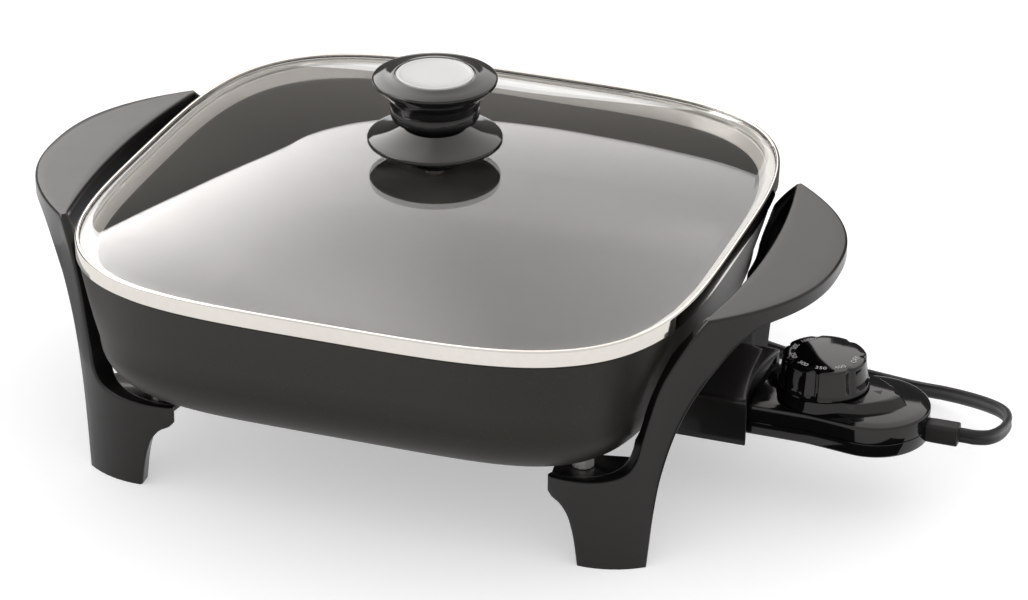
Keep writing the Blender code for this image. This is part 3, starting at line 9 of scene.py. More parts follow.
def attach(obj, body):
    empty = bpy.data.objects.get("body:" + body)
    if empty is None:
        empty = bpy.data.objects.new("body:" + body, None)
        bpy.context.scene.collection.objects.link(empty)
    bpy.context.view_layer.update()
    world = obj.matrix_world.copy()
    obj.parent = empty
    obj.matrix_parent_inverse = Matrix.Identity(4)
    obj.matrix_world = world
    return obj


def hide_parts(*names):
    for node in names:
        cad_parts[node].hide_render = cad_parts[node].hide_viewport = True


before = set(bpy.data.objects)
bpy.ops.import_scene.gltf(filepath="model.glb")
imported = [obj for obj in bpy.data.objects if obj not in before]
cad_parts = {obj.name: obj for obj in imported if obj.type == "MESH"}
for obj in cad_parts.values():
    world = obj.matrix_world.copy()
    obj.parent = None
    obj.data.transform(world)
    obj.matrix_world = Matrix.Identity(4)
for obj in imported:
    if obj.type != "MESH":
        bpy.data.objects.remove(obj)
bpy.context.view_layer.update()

panX = -0.02315      # the pan's centre, in the row frame
smallGap = 0.0003
fineBevel = 0.0004


# Camera

cameraSetup = {
    "place": (0.55805, -1.5648, 0.9097),
    "turn": 19.081,
    "tilt": 26.813,
    "roll": 0.555,
    "lens": 136.906,
}


def addCamera(setup):
    turn, tilt, roll = (math.radians(setup[key]) for key in ("turn", "tilt", "roll"))
    back = Vector((math.sin(turn) * math.cos(tilt), -math.cos(turn) * math.cos(tilt), math.sin(tilt)))
    level = Vector((math.cos(turn), math.sin(turn), 0))
    upright = back.cross(level)
    right = math.cos(roll) * level + math.sin(roll) * upright
    top = math.cos(roll) * upright - math.sin(roll) * level
    bpy.ops.object.camera_add(location=setup["place"])
    camera = bpy.context.object
    camera.name = "photoCamera"
    camera.rotation_euler = Matrix((right, top, back)).transposed().to_euler()
    camera.data.lens = setup["lens"]
    camera.data.sensor_width = 36
    camera.data.clip_start = 0.05
    bpy.context.scene.camera = camera


addCamera(cameraSetup)
bpy.context.scene.view_settings.view_transform = "Standard"
print("camera set")


# Modelling helpers


def deselectAll():
    if bpy.context.object and bpy.context.object.mode != "OBJECT":
        bpy.ops.object.mode_set(mode="OBJECT")
    bpy.ops.object.select_all(action="DESELECT")


def pick(thing):
    deselectAll()
    thing.select_set(True)
    bpy.context.view_layer.objects.active = thing


def settle(thing):
    # place, turn and size go into the mesh, so that the object stands at the origin
    pick(thing)
    bpy.ops.object.transform_apply(location=True, rotation=True, scale=True)


def applyModifier(thing, kind, **values):
    pick(thing)
    bpy.ops.object.modifier_add(type=kind)
    modifier = thing.modifiers[-1]
    for key, value in values.items():
        setattr(modifier, key, value)
    bpy.ops.object.modifier_apply(modifier=modifier.name)


def bevelEdges(thing, width, segments=3, angle=30):
    applyModifier(thing, "BEVEL", width=width, segments=segments, limit_method="ANGLE",
                  angle_limit=math.radians(angle), harden_normals=False)


def smooth(thing, angle=35):
    pick(thing)
    bpy.ops.object.shade_smooth_by_angle(angle=math.radians(angle))


def faceOut(thing):
    pick(thing)
    bpy.ops.object.mode_set(mode="EDIT")
    bpy.ops.mesh.select_all(action="SELECT")
    bpy.ops.mesh.remove_doubles(threshold=0.000002)
    bpy.ops.mesh.normals_make_consistent(inside=False)
    bpy.ops.object.mode_set(mode="OBJECT")


def selectVerts(mesh, wanted):
    for vert in mesh.verts:
        vert.select = vert.index in wanted
    mesh.select_flush_mode()


def loftRings(name, rings, joined=False):
    # a circle is extruded ring by ring, and each new ring is laid on its own outline
    count = len(rings[0])
    deselectAll()
    bpy.ops.mesh.primitive_circle_add(vertices=count)
    thing = bpy.context.object
    thing.name = name
    bpy.ops.object.mode_set(mode="EDIT")
    bpy.ops.mesh.select_mode(type="VERT")
    bpy.ops.mesh.select_all(action="SELECT")
    first = list(range(count))
    order = first
    for step, ring in enumerate(rings):
        mesh = bmesh.from_edit_mesh(thing.data)
        mesh.verts.ensure_lookup_table()
        if step:
            last = order
            order = []
            for number in last:
                vert = mesh.verts[number]
                order.append(next(edge.other_vert(vert).index for edge in vert.link_edges
                                  if edge.other_vert(vert).select))
        for number, place in zip(order, ring):
            mesh.verts[number].co = place
        bmesh.update_edit_mesh(thing.data)
        if step < len(rings) - 1:
            bpy.ops.mesh.extrude_region_move()
            bmesh.from_edit_mesh(thing.data).verts.index_update()
    if joined:
        mesh = bmesh.from_edit_mesh(thing.data)
        selectVerts(mesh, set(first) | set(order))
        bmesh.update_edit_mesh(thing.data)
        bpy.ops.mesh.bridge_edge_loops()
    else:
        for end in (first, order):
            mesh = bmesh.from_edit_mesh(thing.data)
            selectVerts(mesh, set(end))
            bmesh.update_edit_mesh(thing.data)
            bpy.ops.mesh.edge_face_add()
    bpy.ops.object.mode_set(mode="OBJECT")
    faceOut(thing)
    return thing


def joinPieces(first, *others):
    deselectAll()
    for other in others:
        other.select_set(True)
    first.select_set(True)
    bpy.context.view_layer.objects.active = first
    bpy.ops.object.join()
    return first


def cutAway(thing, cutter):
    applyModifier(thing, "BOOLEAN", object=cutter, operation="DIFFERENCE", solver="EXACT")
    pick(cutter)
    bpy.ops.object.delete()


def addCylinder(radius, low, high, place, count=32):
    deselectAll()
    bpy.ops.mesh.primitive_cylinder_add(vertices=count, radius=radius, depth=high - low,
                                        location=(*place, (low + high) / 2))
    settle(bpy.context.object)
    return bpy.context.object


def addRod(radius, start, end, height, y=0, count=32):
    # a cylinder that lies along x
    deselectAll()
    bpy.ops.mesh.primitive_cylinder_add(vertices=count, radius=radius, depth=end - start,
                                        location=((start + end) / 2, y, height),
                                        rotation=(0, math.pi / 2, 0))
    settle(bpy.context.object)
    return bpy.context.object


def addBlock(low, high):
    deselectAll()
    middle = [(a + b) / 2 for a, b in zip(low, high)]
    bpy.ops.mesh.primitive_cube_add(size=1, location=middle)
    bpy.context.object.scale = [b - a for a, b in zip(low, high)]
    settle(bpy.context.object)
    return bpy.context.object


def roundRing(radius, z, count=96):
    turns = [2 * math.pi * k / count for k in range(count)]
    return [(panX + radius * math.cos(turn), radius * math.sin(turn), z) for turn in turns]


def squareRing(halfX, halfY, power, z, count=200):
    # a rounded square whose points lie closer together at the corners
    ring = []
    for k in range(count):
        turn = 2 * math.pi * k / count
        turn += 0.6 * math.sin(4 * turn) / 4
        east, north = math.cos(turn), math.sin(turn)
        reach = (abs(east / halfX) ** power + abs(north / halfY) ** power) ** (-1 / power)
        ring.append((panX + reach * east, reach * north, z))
    return ring


def dress(piece, material, body, materialSlot, *nodes):
    piece.data.materials.clear()
    piece.data.materials.append(material)
    for face in piece.data.polygons:
        face.material_index = 0
    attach(piece, body)
    if nodes:
        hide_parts(*nodes)


def curveThrough(points, count):
    # evenly spaced points on a smooth curve through the given ones
    known = np.array(points, float)
    padded = np.vstack([2 * known[0] - known[1], known, 2 * known[-1] - known[-2]])
    fine = []
    for k in range(len(known) - 1):
        a, b, c, d = padded[k:k + 4]
        for t in np.linspace(0, 1, 16, endpoint=False):
            fine.append(0.5 * (2 * b + (c - a) * t + (2 * a - 5 * b + 4 * c - d) * t * t
                               + (3 * b - a - 3 * c + d) * t ** 3))
    fine.append(known[-1])
    fine = np.array(fine)
    run = np.concatenate([[0], np.cumsum(np.linalg.norm(np.diff(fine, axis=0), axis=1))])
    wanted = np.linspace(0, run[-1], count)
    return np.stack([np.interp(wanted, run, fine[:, k]) for k in range(fine.shape[1])], axis=1)


# Shader groups that several materials use


def newGroup(name, inputs, outputs):
    group = bpy.data.node_groups.new(name, "ShaderNodeTree")
    for label, kind, default in inputs:
        socket = group.interface.new_socket(label, in_out="INPUT", socket_type=kind)
        socket.default_value = default
    for label, kind in outputs:
        group.interface.new_socket(label, in_out="OUTPUT", socket_type=kind)
    return group, group.nodes.new("NodeGroupInput"), group.nodes.new("NodeGroupOutput")


def addNode(tree, kind, values=None, **settings):
    node = tree.nodes.new(kind)
    for key, value in settings.items():
        setattr(node, key, value)
    for key, value in (values or {}).items():
        node.inputs[key].default_value = value
    return node


def mathNode(tree, operation, first, second=None):
    node = addNode(tree, "ShaderNodeMath", operation=operation)
    for socket, value in zip(node.inputs, (first, second)):
        if isinstance(value, bpy.types.NodeSocket):
            tree.links.new(value, socket)
        elif value is not None:
            socket.default_value = value
    return node.outputs[0]


def mixColours(tree, factor, first, second):
    node = addNode(tree, "ShaderNodeMix", data_type="RGBA")
    places = {"factor": node.inputs[0], "first": node.inputs[6], "second": node.inputs[7]}
    for key, value in (("factor", factor), ("first", first), ("second", second)):
        if isinstance(value, bpy.types.NodeSocket):
            tree.links.new(value, places[key])
        else:
            places[key].default_value = value
    return node.outputs[2]


def blotchGroup():
    # slow and fast variation in one value, for roughness and faint shade
    group, inputs, outputs = newGroup(
        "blotches",
        [("Vector", "NodeSocketVector", (0, 0, 0)), ("Coarse scale", "NodeSocketFloat", 40),
         ("Fine scale", "NodeSocketFloat", 900), ("Low", "NodeSocketFloat", 0.3),
         ("High", "NodeSocketFloat", 0.5)],
        [("Value", "NodeSocketFloat"), ("Mask", "NodeSocketFloat")])
    coarse = addNode(group, "ShaderNodeTexNoise", {"Detail": 3})
    fine = addNode(group, "ShaderNodeTexNoise", {"Detail": 2})
    for node, label in ((coarse, "Coarse scale"), (fine, "Fine scale")):
        group.links.new(inputs.outputs["Vector"], node.inputs["Vector"])
        group.links.new(inputs.outputs[label], node.inputs["Scale"])
    both = mathNode(group, "ADD", mathNode(group, "MULTIPLY", coarse.outputs["Fac"], 0.6),
                    mathNode(group, "MULTIPLY", fine.outputs["Fac"], 0.4))
    stretch = addNode(group, "ShaderNodeMapRange", {"From Min": 0.32, "From Max": 0.68})
    group.links.new(both, stretch.inputs["Value"])
    group.links.new(stretch.outputs["Result"], outputs.inputs["Mask"])
    ranged = addNode(group, "ShaderNodeMapRange", {"From Min": 0.32, "From Max": 0.68})
    group.links.new(both, ranged.inputs["Value"])
    group.links.new(inputs.outputs["Low"], ranged.inputs["To Min"])
    group.links.new(inputs.outputs["High"], ranged.inputs["To Max"])
    group.links.new(ranged.outputs["Result"], outputs.inputs["Value"])
    return group


def fleckGroup():
    # scattered bright grains, as in a metallic coating
    group, inputs, outputs = newGroup(
        "flecks",
        [("Vector", "NodeSocketVector", (0, 0, 0)), ("Scale", "NodeSocketFloat", 900),
         ("Share", "NodeSocketFloat", 0.1)],
        [("Mask", "NodeSocketFloat")])
    cells = addNode(group, "ShaderNodeTexVoronoi", feature="F1")
    group.links.new(inputs.outputs["Vector"], cells.inputs["Vector"])
    group.links.new(inputs.outputs["Scale"], cells.inputs["Scale"])
    split = addNode(group, "ShaderNodeSeparateColor")
    group.links.new(cells.outputs["Color"], split.inputs["Color"])
    kept = mathNode(group, "LESS_THAN", split.outputs["Red"], inputs.outputs["Share"])
    near = mathNode(group, "LESS_THAN", cells.outputs["Distance"], 0.42)
    strength = mathNode(group, "MULTIPLY", kept, near)
    varied = mathNode(group, "MULTIPLY", strength, split.outputs["Green"])
    group.links.new(varied, outputs.inputs["Mask"])
    return group


blotches, flecks = blotchGroup(), fleckGroup()


def addGroup(tree, group, vector, **values):
    node = tree.nodes.new("ShaderNodeGroup")
    node.node_tree = group
    tree.links.new(vector, node.inputs["Vector"])
    for label, value in values.items():
        node.inputs[label.replace("_", " ")].default_value = value
    return node


def startMaterial(name):
    material = bpy.data.materials.new(name)
    material.use_nodes = True
    tree = material.node_tree
    shader = tree.nodes["Principled BSDF"]
    place = addNode(tree, "ShaderNodeTexCoord").outputs["Object"]
    return material, tree, shader, place


def finishMaterial(name, look):
    # one maker for the plain finishes, whose colour, roughness and grain all vary over the surface
    material, tree, shader, place = startMaterial(name)
    rough = addGroup(tree, blotches, place, Coarse_scale=look.get("coarse", 40),
                     Fine_scale=look.get("fine", 900), Low=look["rough"][0], High=look["rough"][1])
    tree.links.new(rough.outputs["Value"], shader.inputs["Roughness"])
    colour = mixColours(tree, rough.outputs["Mask"], (*look["dark"], 1), (*look["light"], 1))
    if "fleck" in look:
        grains = addGroup(tree, flecks, place, Scale=look["fleckScale"], Share=look["fleckShare"])
        colour = mixColours(tree, grains.outputs["Mask"], colour, (*look["fleck"], 1))
    tree.links.new(colour, shader.inputs["Base Color"])
    shader.inputs["Metallic"].default_value = look.get("metallic", 0)
    shader.inputs["IOR"].default_value = look.get("ior", 1.5)
    shader.inputs["Specular Tint"].default_value = (*look.get("tint", (1, 1, 1)), 1)
    shader.inputs["Coat Weight"].default_value = look.get("coat", 0)
    shader.inputs["Coat Roughness"].default_value = look.get("coatRough", 0.05)
    if "grain" in look:
        noise = addNode(tree, "ShaderNodeTexNoise", {"Scale": look["grainScale"], "Detail": 3})
        tree.links.new(place, noise.inputs["Vector"])
        bump = addNode(tree, "ShaderNodeBump", {"Strength": 1, "Distance": look["grain"]})
        tree.links.new(noise.outputs["Fac"], bump.inputs["Height"])
        tree.links.new(bump.outputs["Normal"], shader.inputs["Normal"])
    return material


finishes = {
    "darkCoating": {
        "dark": (0.0085, 0.0074, 0.0060), "light": (0.0120, 0.0106, 0.0088), "rough": (0.40, 0.46),
        "fleck": (0.026, 0.024, 0.020), "fleckScale": 1500, "fleckShare": 0.10, "coarse": 14, "fine": 420,
        "ior": 1.36, "tint": (1, 0.95, 0.88),
    },
    "blackMoulding": {
        "dark": (0.0042, 0.0040, 0.0038), "light": (0.0060, 0.0057, 0.0054), "rough": (0.29, 0.35),
        "coarse": 10, "fine": 160, "ior": 1.33, "tint": (1, 0.97, 0.93), "coat": 0.26, "coatRough": 0.07,
    },
    "glossBlack": {
        "dark": (0.0030, 0.0030, 0.0030), "light": (0.0044, 0.0043, 0.0041), "rough": (0.05, 0.09),
        "coarse": 16, "fine": 220, "ior": 1.45, "tint": (1, 0.98, 0.95),
    },
    "brightSteel": {
        "dark": (0.62, 0.585, 0.545), "light": (0.67, 0.635, 0.595), "rough": (0.05, 0.10), "metallic": 1,
        "coarse": 9, "fine": 300,
    },
    "satinSteel": {
        "dark": (0.78, 0.74, 0.70), "light": (0.86, 0.82, 0.78), "rough": (0.36, 0.44), "metallic": 0.2,
        "coarse": 14, "fine": 260,
    },
    "screwSteel": {
        "dark": (0.50, 0.49, 0.47), "light": (0.66, 0.65, 0.62), "rough": (0.22, 0.38), "metallic": 1,
        "coarse": 200, "fine": 1800,
    },
    "elementSheath": {
        "dark": (0.075, 0.068, 0.060), "light": (0.13, 0.118, 0.105), "rough": (0.42, 0.60),
        "metallic": 0.7, "coarse": 90, "fine": 1200, "grain": 0.00002, "grainScale": 1500,
    },
    "whiteCeramic": {
        "dark": (0.74, 0.71, 0.65), "light": (0.82, 0.80, 0.75), "rough": (0.35, 0.52), "coarse": 150,
        "fine": 1500,
    },
    "yellowBrass": {
        "dark": (0.55, 0.40, 0.16), "light": (0.66, 0.50, 0.23), "rough": (0.22, 0.36), "metallic": 1,
        "coarse": 150, "fine": 1500,
    },
    "softRubber": {
        "dark": (0.010, 0.0095, 0.009), "light": (0.016, 0.015, 0.014), "rough": (0.36, 0.46),
        "ior": 1.35, "coarse": 90, "fine": 1500, "grain": 0.00001, "grainScale": 1300,
    },
    "paleSilicone": {
        "dark": (0.70, 0.68, 0.65), "light": (0.78, 0.76, 0.73), "rough": (0.30, 0.42), "coarse": 60,
        "fine": 900,
    },
    "brushedAluminium": {
        "dark": (0.74, 0.72, 0.69), "light": (0.84, 0.82, 0.79), "rough": (0.30, 0.40), "metallic": 0.55,
        "coarse": 120, "fine": 1400,
    },
    "badgeSilver": {
        "dark": (0.57, 0.565, 0.56), "light": (0.61, 0.605, 0.60), "rough": (0.30, 0.38), "metallic": 0.1,
        "coarse": 60, "fine": 2400, "grain": 0.000003, "grainScale": 2600,
    },
    "whitePrint": {
        "dark": (0.70, 0.70, 0.68), "light": (0.80, 0.80, 0.78), "rough": (0.35, 0.5), "coarse": 300,
        "fine": 2500,
    },
}
made = {name: finishMaterial(name, look) for name, look in finishes.items()}


glassLook = {"colour": (0.975, 0.972, 0.968), "ior": 1.5, "smears": 0.006,
             "letThrough": (0.92, 0.915, 0.905)}


def glassMaterial(look):
    # clear tempered glass; light passes it, so that the pan inside stays lit
    material, tree, shader, place = startMaterial("clearGlass")
    shader.inputs["Base Color"].default_value = (*look["colour"], 1)
    shader.inputs["Transmission Weight"].default_value = 1
    shader.inputs["IOR"].default_value = look["ior"]
    smears = addGroup(tree, blotches, place, Coarse_scale=9, Fine_scale=40, Low=0, High=look["smears"])
    tree.links.new(smears.outputs["Value"], shader.inputs["Roughness"])
    through = addNode(tree, "ShaderNodeBsdfTransparent", {"Color": (*look["letThrough"], 1)})
    path = addNode(tree, "ShaderNodeLightPath")
    choose = addNode(tree, "ShaderNodeMixShader")
    either = mathNode(tree, "MAXIMUM", path.outputs["Is Shadow Ray"], path.outputs["Is Diffuse Ray"])
    tree.links.new(either, choose.inputs["Fac"])
    tree.links.new(shader.outputs["BSDF"], choose.inputs[1])
    tree.links.new(through.outputs["BSDF"], choose.inputs[2])
    tree.links.new(choose.outputs["Shader"], tree.nodes["Material Output"].inputs["Surface"])
    return material


made["clearGlass"] = glassMaterial(glassLook)
print("materials made")


# Studio

studio = {
    "floorSize": 14,
    "floorColour": (0.88, 0.88, 0.875),
    "floorLift": 0.38,       # what the camera sees over the floor's own shade
    "ambient": 0.93,
    "cardReach": 2.4,
    "cardLevel": 0.13,
    "cardEnds": (-85, 40),
    "cardTop": 84,
    "cardColour": (1, 0.975, 0.96),
    "overhead": 1.5,         # how bright the card is where it meets the sky
    "flag": 0.25,
    "flagReach": 2.448,      # just behind the card
    "flagColour": (1, 0.95, 0.89),
    "strip": 8,
    "stripEnds": (-125, -95),
    "stripHeights": (24, 60),
}
# small flags: strength, then two opposite corners
smallFlags = {
    # painted shade: a dark sheet on the floor by the control and the right foot, seen only in
    # reflections, stands in for the floor's shade there
    "paintedFloorShade": (0.02, (0.155, -0.105, 0.0005), (0.31, -0.03, 0.0005)),
    "nearFlag": (0.12, (0.10, 0.30, 0.01), (0.36, 0.30, 0.206)),
    # painted shade: a dark upright sheet in front of the guard, seen only in reflections, darkens the
    # guard's front as the shaded floor there would
    "paintedGuardShade": (0.02, (0.105, -0.075, 0.001), (0.175, -0.075, 0.04)),
    "legFlag": (0.45, (-0.262, -0.10, 0.001), (-0.262, 0.20, 0.062)),
}


def seenBack(tree):
    # the ground as the camera, metal and glass see it
    path = addNode(tree, "ShaderNodeLightPath")
    seen = mathNode(tree, "MAXIMUM", path.outputs["Is Camera Ray"], path.outputs["Is Glossy Ray"])
    return mathNode(tree, "MAXIMUM", seen, path.outputs["Is Transmission Ray"])


def addStudio(setup):
    deselectAll()
    bpy.ops.mesh.primitive_plane_add(size=setup["floorSize"])
    floor = bpy.context.object
    floor.name = "paleFloor"
    material, tree, shader, place = startMaterial("paleFloor")
    grain = addGroup(tree, blotches, place, Coarse_scale=3, Fine_scale=200, Low=0.85, High=0.95)
    tree.links.new(grain.outputs["Value"], shader.inputs["Roughness"])
    tone = mixColours(tree, grain.outputs["Mask"], (*setup["floorColour"], 1),
                      (*[value * 1.01 for value in setup["floorColour"]], 1))
    tree.links.new(tone, shader.inputs["Base Color"])
    shader.inputs["Specular IOR Level"].default_value = 0.1
    lift = addNode(tree, "ShaderNodeEmission")
    strength = mathNode(tree, "MULTIPLY", seenBack(tree), setup["floorLift"])
    tree.links.new(strength, lift.inputs["Strength"])
    both = addNode(tree, "ShaderNodeAddShader")
    tree.links.new(shader.outputs["BSDF"], both.inputs[0])
    tree.links.new(lift.outputs["Emission"], both.inputs[1])
    tree.links.new(both.outputs["Shader"], tree.nodes["Material Output"].inputs["Surface"])
    floor.data.materials.append(material)

    world = bpy.context.scene.world or bpy.data.worlds.new("studio")
    bpy.context.scene.world = world
    world.use_nodes = True
    tree = world.node_tree
    sky = tree.nodes["Background"]
    sky.inputs["Color"].default_value = (1, 1, 1, 1)
    level = addNode(tree, "ShaderNodeMapRange", {"To Min": setup["ambient"], "To Max": 1})
    tree.links.new(seenBack(tree), level.inputs["Value"])
    tree.links.new(level.outputs["Result"], sky.inputs["Strength"])


addStudio(studio)


def glowMaterial(name, colour):
    # light whose strength is painted on the mesh
    material = bpy.data.materials.new(name)
    material.use_nodes = True
    tree = material.node_tree
    tree.nodes.remove(tree.nodes["Principled BSDF"])
    glow = addNode(tree, "ShaderNodeEmission", {"Color": (*colour, 1)})
    painted = addNode(tree, "ShaderNodeAttribute", attribute_name="glow")
    tree.links.new(painted.outputs["Fac"], glow.inputs["Strength"])
    tree.links.new(glow.outputs["Emission"], tree.nodes["Material Output"].inputs["Surface"])
    return material


def onlyMirrored(card):
    # metal and glass show it, the camera doesn't, and it throws no light or shade
    card.visible_camera = False
    card.visible_diffuse = False
    card.visible_shadow = False


def addCard(name, lowEdge, highEdge, reach, glowTable, high, colour=(1, 1, 1)):
    # a curved card behind the set; its edges are rows of (degrees from +Y towards +X, degrees up);
    # its glow is a row of (degrees, strength) at the low edge and one value at the high one
    deselectAll()
    bpy.ops.mesh.primitive_grid_add(x_subdivisions=110, y_subdivisions=1, size=1)
    card = bpy.context.object
    card.name = name
    lowTurns, lowHeights = zip(*lowEdge)
    highTurns, highHeights = zip(*highEdge)
    painted = card.data.attributes.new("glow", "FLOAT", "POINT")
    for vert in card.data.vertices:
        turn = lowTurns[0] + (lowTurns[-1] - lowTurns[0]) * (vert.co.x + 0.5)
        if vert.co.y < 0:
            height = float(np.interp(turn, lowTurns, lowHeights))
        else:
            height = float(np.interp(turn, highTurns, highHeights))
        glow = float(np.interp(turn, *zip(*glowTable))) if vert.co.y < 0 else high
        painted.data[vert.index].value = glow
        up, side = math.radians(height), math.radians(turn)
        vert.co = (panX + reach * math.sin(side) * math.cos(up), reach * math.cos(side) * math.cos(up),
                   studio["cardLevel"] + reach * math.sin(up))
    card.data.materials.append(glowMaterial(name, colour))
    onlyMirrored(card)


def addFlag(name, strength, low, high):
    # a small dark card, flat in one of its axes
    corners = [low, (high[0], low[1], low[2]), high, (low[0], high[1], high[2])]
    if low[0] == high[0]:
        corners[1], corners[3] = (low[0], high[1], low[2]), (low[0], low[1], high[2])
    deselectAll()
    bpy.ops.mesh.primitive_plane_add(size=1)
    card = bpy.context.object
    card.name = name
    painted = card.data.attributes.new("glow", "FLOAT", "POINT")
    for number, place in zip(card.data.polygons[0].vertices, corners):
        painted.data[number].value = strength
        card.data.vertices[number].co = place
    card.data.materials.append(glowMaterial(name, (1, 1, 1)))
    onlyMirrored(card)


cardMarks = [(-85, 34), (-60, 28.5), (-45, 24), (-36.6, 21.2), (-33, 19.7), (-30, 18.5), (-27, 17.4),
             (-24, 16.4), (-20.5, 15.5), (-17.5, 15.1), (-15, 15.7), (-12, 17.1), (-8, 19), (-3.5, 21),
             (10, 26), (40, 32)]
cardEdge = [tuple(place) for place in curveThrough(cardMarks, 120)]
cardGlow = [(-85, 3.6), (-60, 5.1), (-39, 5.1), (-36, 4.5), (-33, 4.0), (-30, 3.4), (-27, 3.0),
            (-24, 2.6), (-20, 2.2), (-16, 2.05), (-12, 2.0), (10, 2.0), (40, 1.6)]
reach, flat, ends, strip = (studio[key] for key in ("cardReach", "flag", "cardEnds", "stripEnds"))
addCard("paleCard", cardEdge, [(end, studio["cardTop"]) for end in ends], reach, cardGlow,
        studio["overhead"], studio["cardColour"])
addCard("darkFlag", [(end, 1) for end in ends], cardEdge, studio["flagReach"],
        [(end, flat) for end in ends], flat, studio["flagColour"])
addCard("edgeStrip", *[[(end, height) for end in strip] for height in studio["stripHeights"]], reach,
        [(end, studio["strip"]) for end in strip], studio["strip"])
for name, (strength, low, high) in smallFlags.items():
    addFlag(name, strength, low, high)
print("studio set")


# Cord, from the strain relief to the coil

cordLook = {
    "width": 0.0074, "coreRadius": 0.00185,
    "coilX": 0.040, "coilY": 0.2125, "coilRadius": 0.047, "coilPitch": 0.0079, "coilTurns": 2.0,
    "coilLevel": 0.0051, "coilTail": 0.051, "tailLevelRun": 0.022, "plugLevel": 0.0097,
    "exitX": 0.2583, "exitHeight": 0.0414,
}
cordRoute = [
    (0.2690, 0.0015, 0.0409), (0.2721, 0.0060, 0.0399), (0.2737, 0.0125, 0.0382),
    (0.2743, 0.0220, 0.0356), (0.2735, 0.0360, 0.0322), (0.2702, 0.0480, 0.0292),
    (0.2652, 0.0574, 0.0263), (0.2584, 0.0666, 0.0228), (0.2519, 0.0743, 0.0196),
    (0.2443, 0.0824, 0.0160), (0.2362, 0.0900, 0.0125), (0.2283, 0.0962, 0.0095),
    (0.2210, 0.1010, 0.0070), (0.2120, 0.1052, 0.0050), (0.1980, 0.1090, 0.0040),
    (0.1750, 0.1130, 0.0039), (0.1500, 0.1180, 0.0039), (0.1230, 0.1270, 0.0039),
    (0.0980, 0.1400, 0.0040), (0.0780, 0.1540, 0.0043),
]


def cordPath(look):
    start, width = look["exitX"], look["width"]
    straight = [(start + width * share, 0, look["exitHeight"]) for share in (0, 0.5, 1)]
    nearCoil = look["coilX"] + width + smallGap
    coilStartY = look["coilY"] - look["coilRadius"]
    finish = [(nearCoil + width * share, coilStartY, look["coilLevel"]) for share in (1, 0)]
    route = curveThrough([straight[-1], *cordRoute, finish[0]], 52)
    points = [*straight[:-1], *map(tuple, route), finish[-1]]
    steps = int(24 * look["coilTurns"])
    for k in range(steps + 1):
        turns = look["coilTurns"] * k / steps
        radius = look["coilRadius"] - look["coilPitch"] * (1 - abs(turns - 1))
        climb = min(1.0, max(0.0, (turns - 0.75) * 2))
        height = look["coilLevel"] + look["coilPitch"] * (1 - math.cos(math.pi * climb)) / 2
        angle = -math.pi / 2 - 2 * math.pi * turns
        points.append((look["coilX"] + radius * math.cos(angle), look["coilY"] + radius * math.sin(angle),
                       height))
    high = look["coilLevel"] + look["coilPitch"]
    for x in np.linspace(0, look["coilTail"], 14)[1:]:
        fall = min(1.0, max(0.0, (x - look["tailLevelRun"]) / (look["coilTail"] - look["tailLevelRun"])))
        height = high + (look["plugLevel"] - high) * (1 - math.cos(math.pi * fall)) / 2
        points.append((look["coilX"] - x, coilStartY, height))
    return np.array(points) + (panX, 0, 0)


def makeCord(look):
    # two round cores side by side, swept along the route
    rough = cordPath(look)
    run = np.concatenate([[0], np.cumsum(np.linalg.norm(np.diff(rough, axis=0), axis=1))])
    path = curveThrough(rough, 640)
    deselectAll()
    bpy.ops.curve.primitive_bezier_circle_add(radius=look["coreRadius"])
    section = bpy.context.object
    section.data.splines.clear()
    outline = section.data.splines.new("POLY")
    outline.use_cyclic_u = True
    core = look["coreRadius"]
    edge = []
    for side in (1, -1):
        for k in range(13):
            turn = side * math.pi / 2 + math.radians(-128 + 256 * k / 12)
            edge.append((core * math.cos(turn), side * core + core * math.sin(turn)))
    outline.points.add(len(edge) - 1)
    for point, (x, y) in zip(outline.points, edge):
        point.co = (x, y, 0, 1)

    deselectAll()
    bpy.ops.curve.primitive_nurbs_path_add()
    cord = bpy.context.object
    cord.name = "flatCord"
    cord.location = (0, 0, 0)
    line = cord.data
    line.splines.clear()
    spline = line.splines.new("POLY")
    spline.points.add(len(path) - 1)
    for point, place in zip(spline.points, path):
        point.co = (*place, 1)
    line.dimensions = "3D"
    line.twist_mode = "Z_UP"
    line.bevel_mode = "OBJECT"
    line.bevel_object = section
    line.use_fill_caps = True
    pick(cord)
    bpy.ops.object.convert(target="MESH")
    cord = bpy.context.object
    pick(section)
    bpy.ops.object.delete()
    settle(cord)
    faceOut(cord)
    smooth(cord, 50)
    return cord, path, run[-1]


cord, cordLine, cordLength = makeCord(cordLook)
dress(cord, made["softRubber"], "control", "rubber", "cord_free", "cord_coil")
print(f"cord {cordLength:.3f} m")


# Plug and the tie round the coil

plugLook = {"face": -0.0113, "y": 0.1655, "level": 0.0097, "length": 0.034, "halfWidth": 0.0125,
            "halfThick": 0.0095, "bladeSpread": 0.00635, "bladeReach": 0.0165, "bladeHalfThick": 0.00075,
            "bladeHalfHeight": 0.0032, "bladeRoot": 0.0010, "eye": 0.0011, "eyeReach": 0.0125,
            "power": 3.4}
tieLook = {"halfLength": 0.002, "halfWidth": 0.0043, "halfHeight": 0.00825, "rounding": 0.0006,
           "power": 3.75}


def blockRing(x, y, z, halfY, halfZ, power, count=48):
    ring = []
    for k in range(count):
        turn = 2 * math.pi * k / count
        east, north = math.cos(turn), math.sin(turn)
        reach = (abs(east / halfY) ** power + abs(north / halfZ) ** power) ** (-1 / power)
        ring.append((x, y + reach * east, z + reach * north))
    return ring


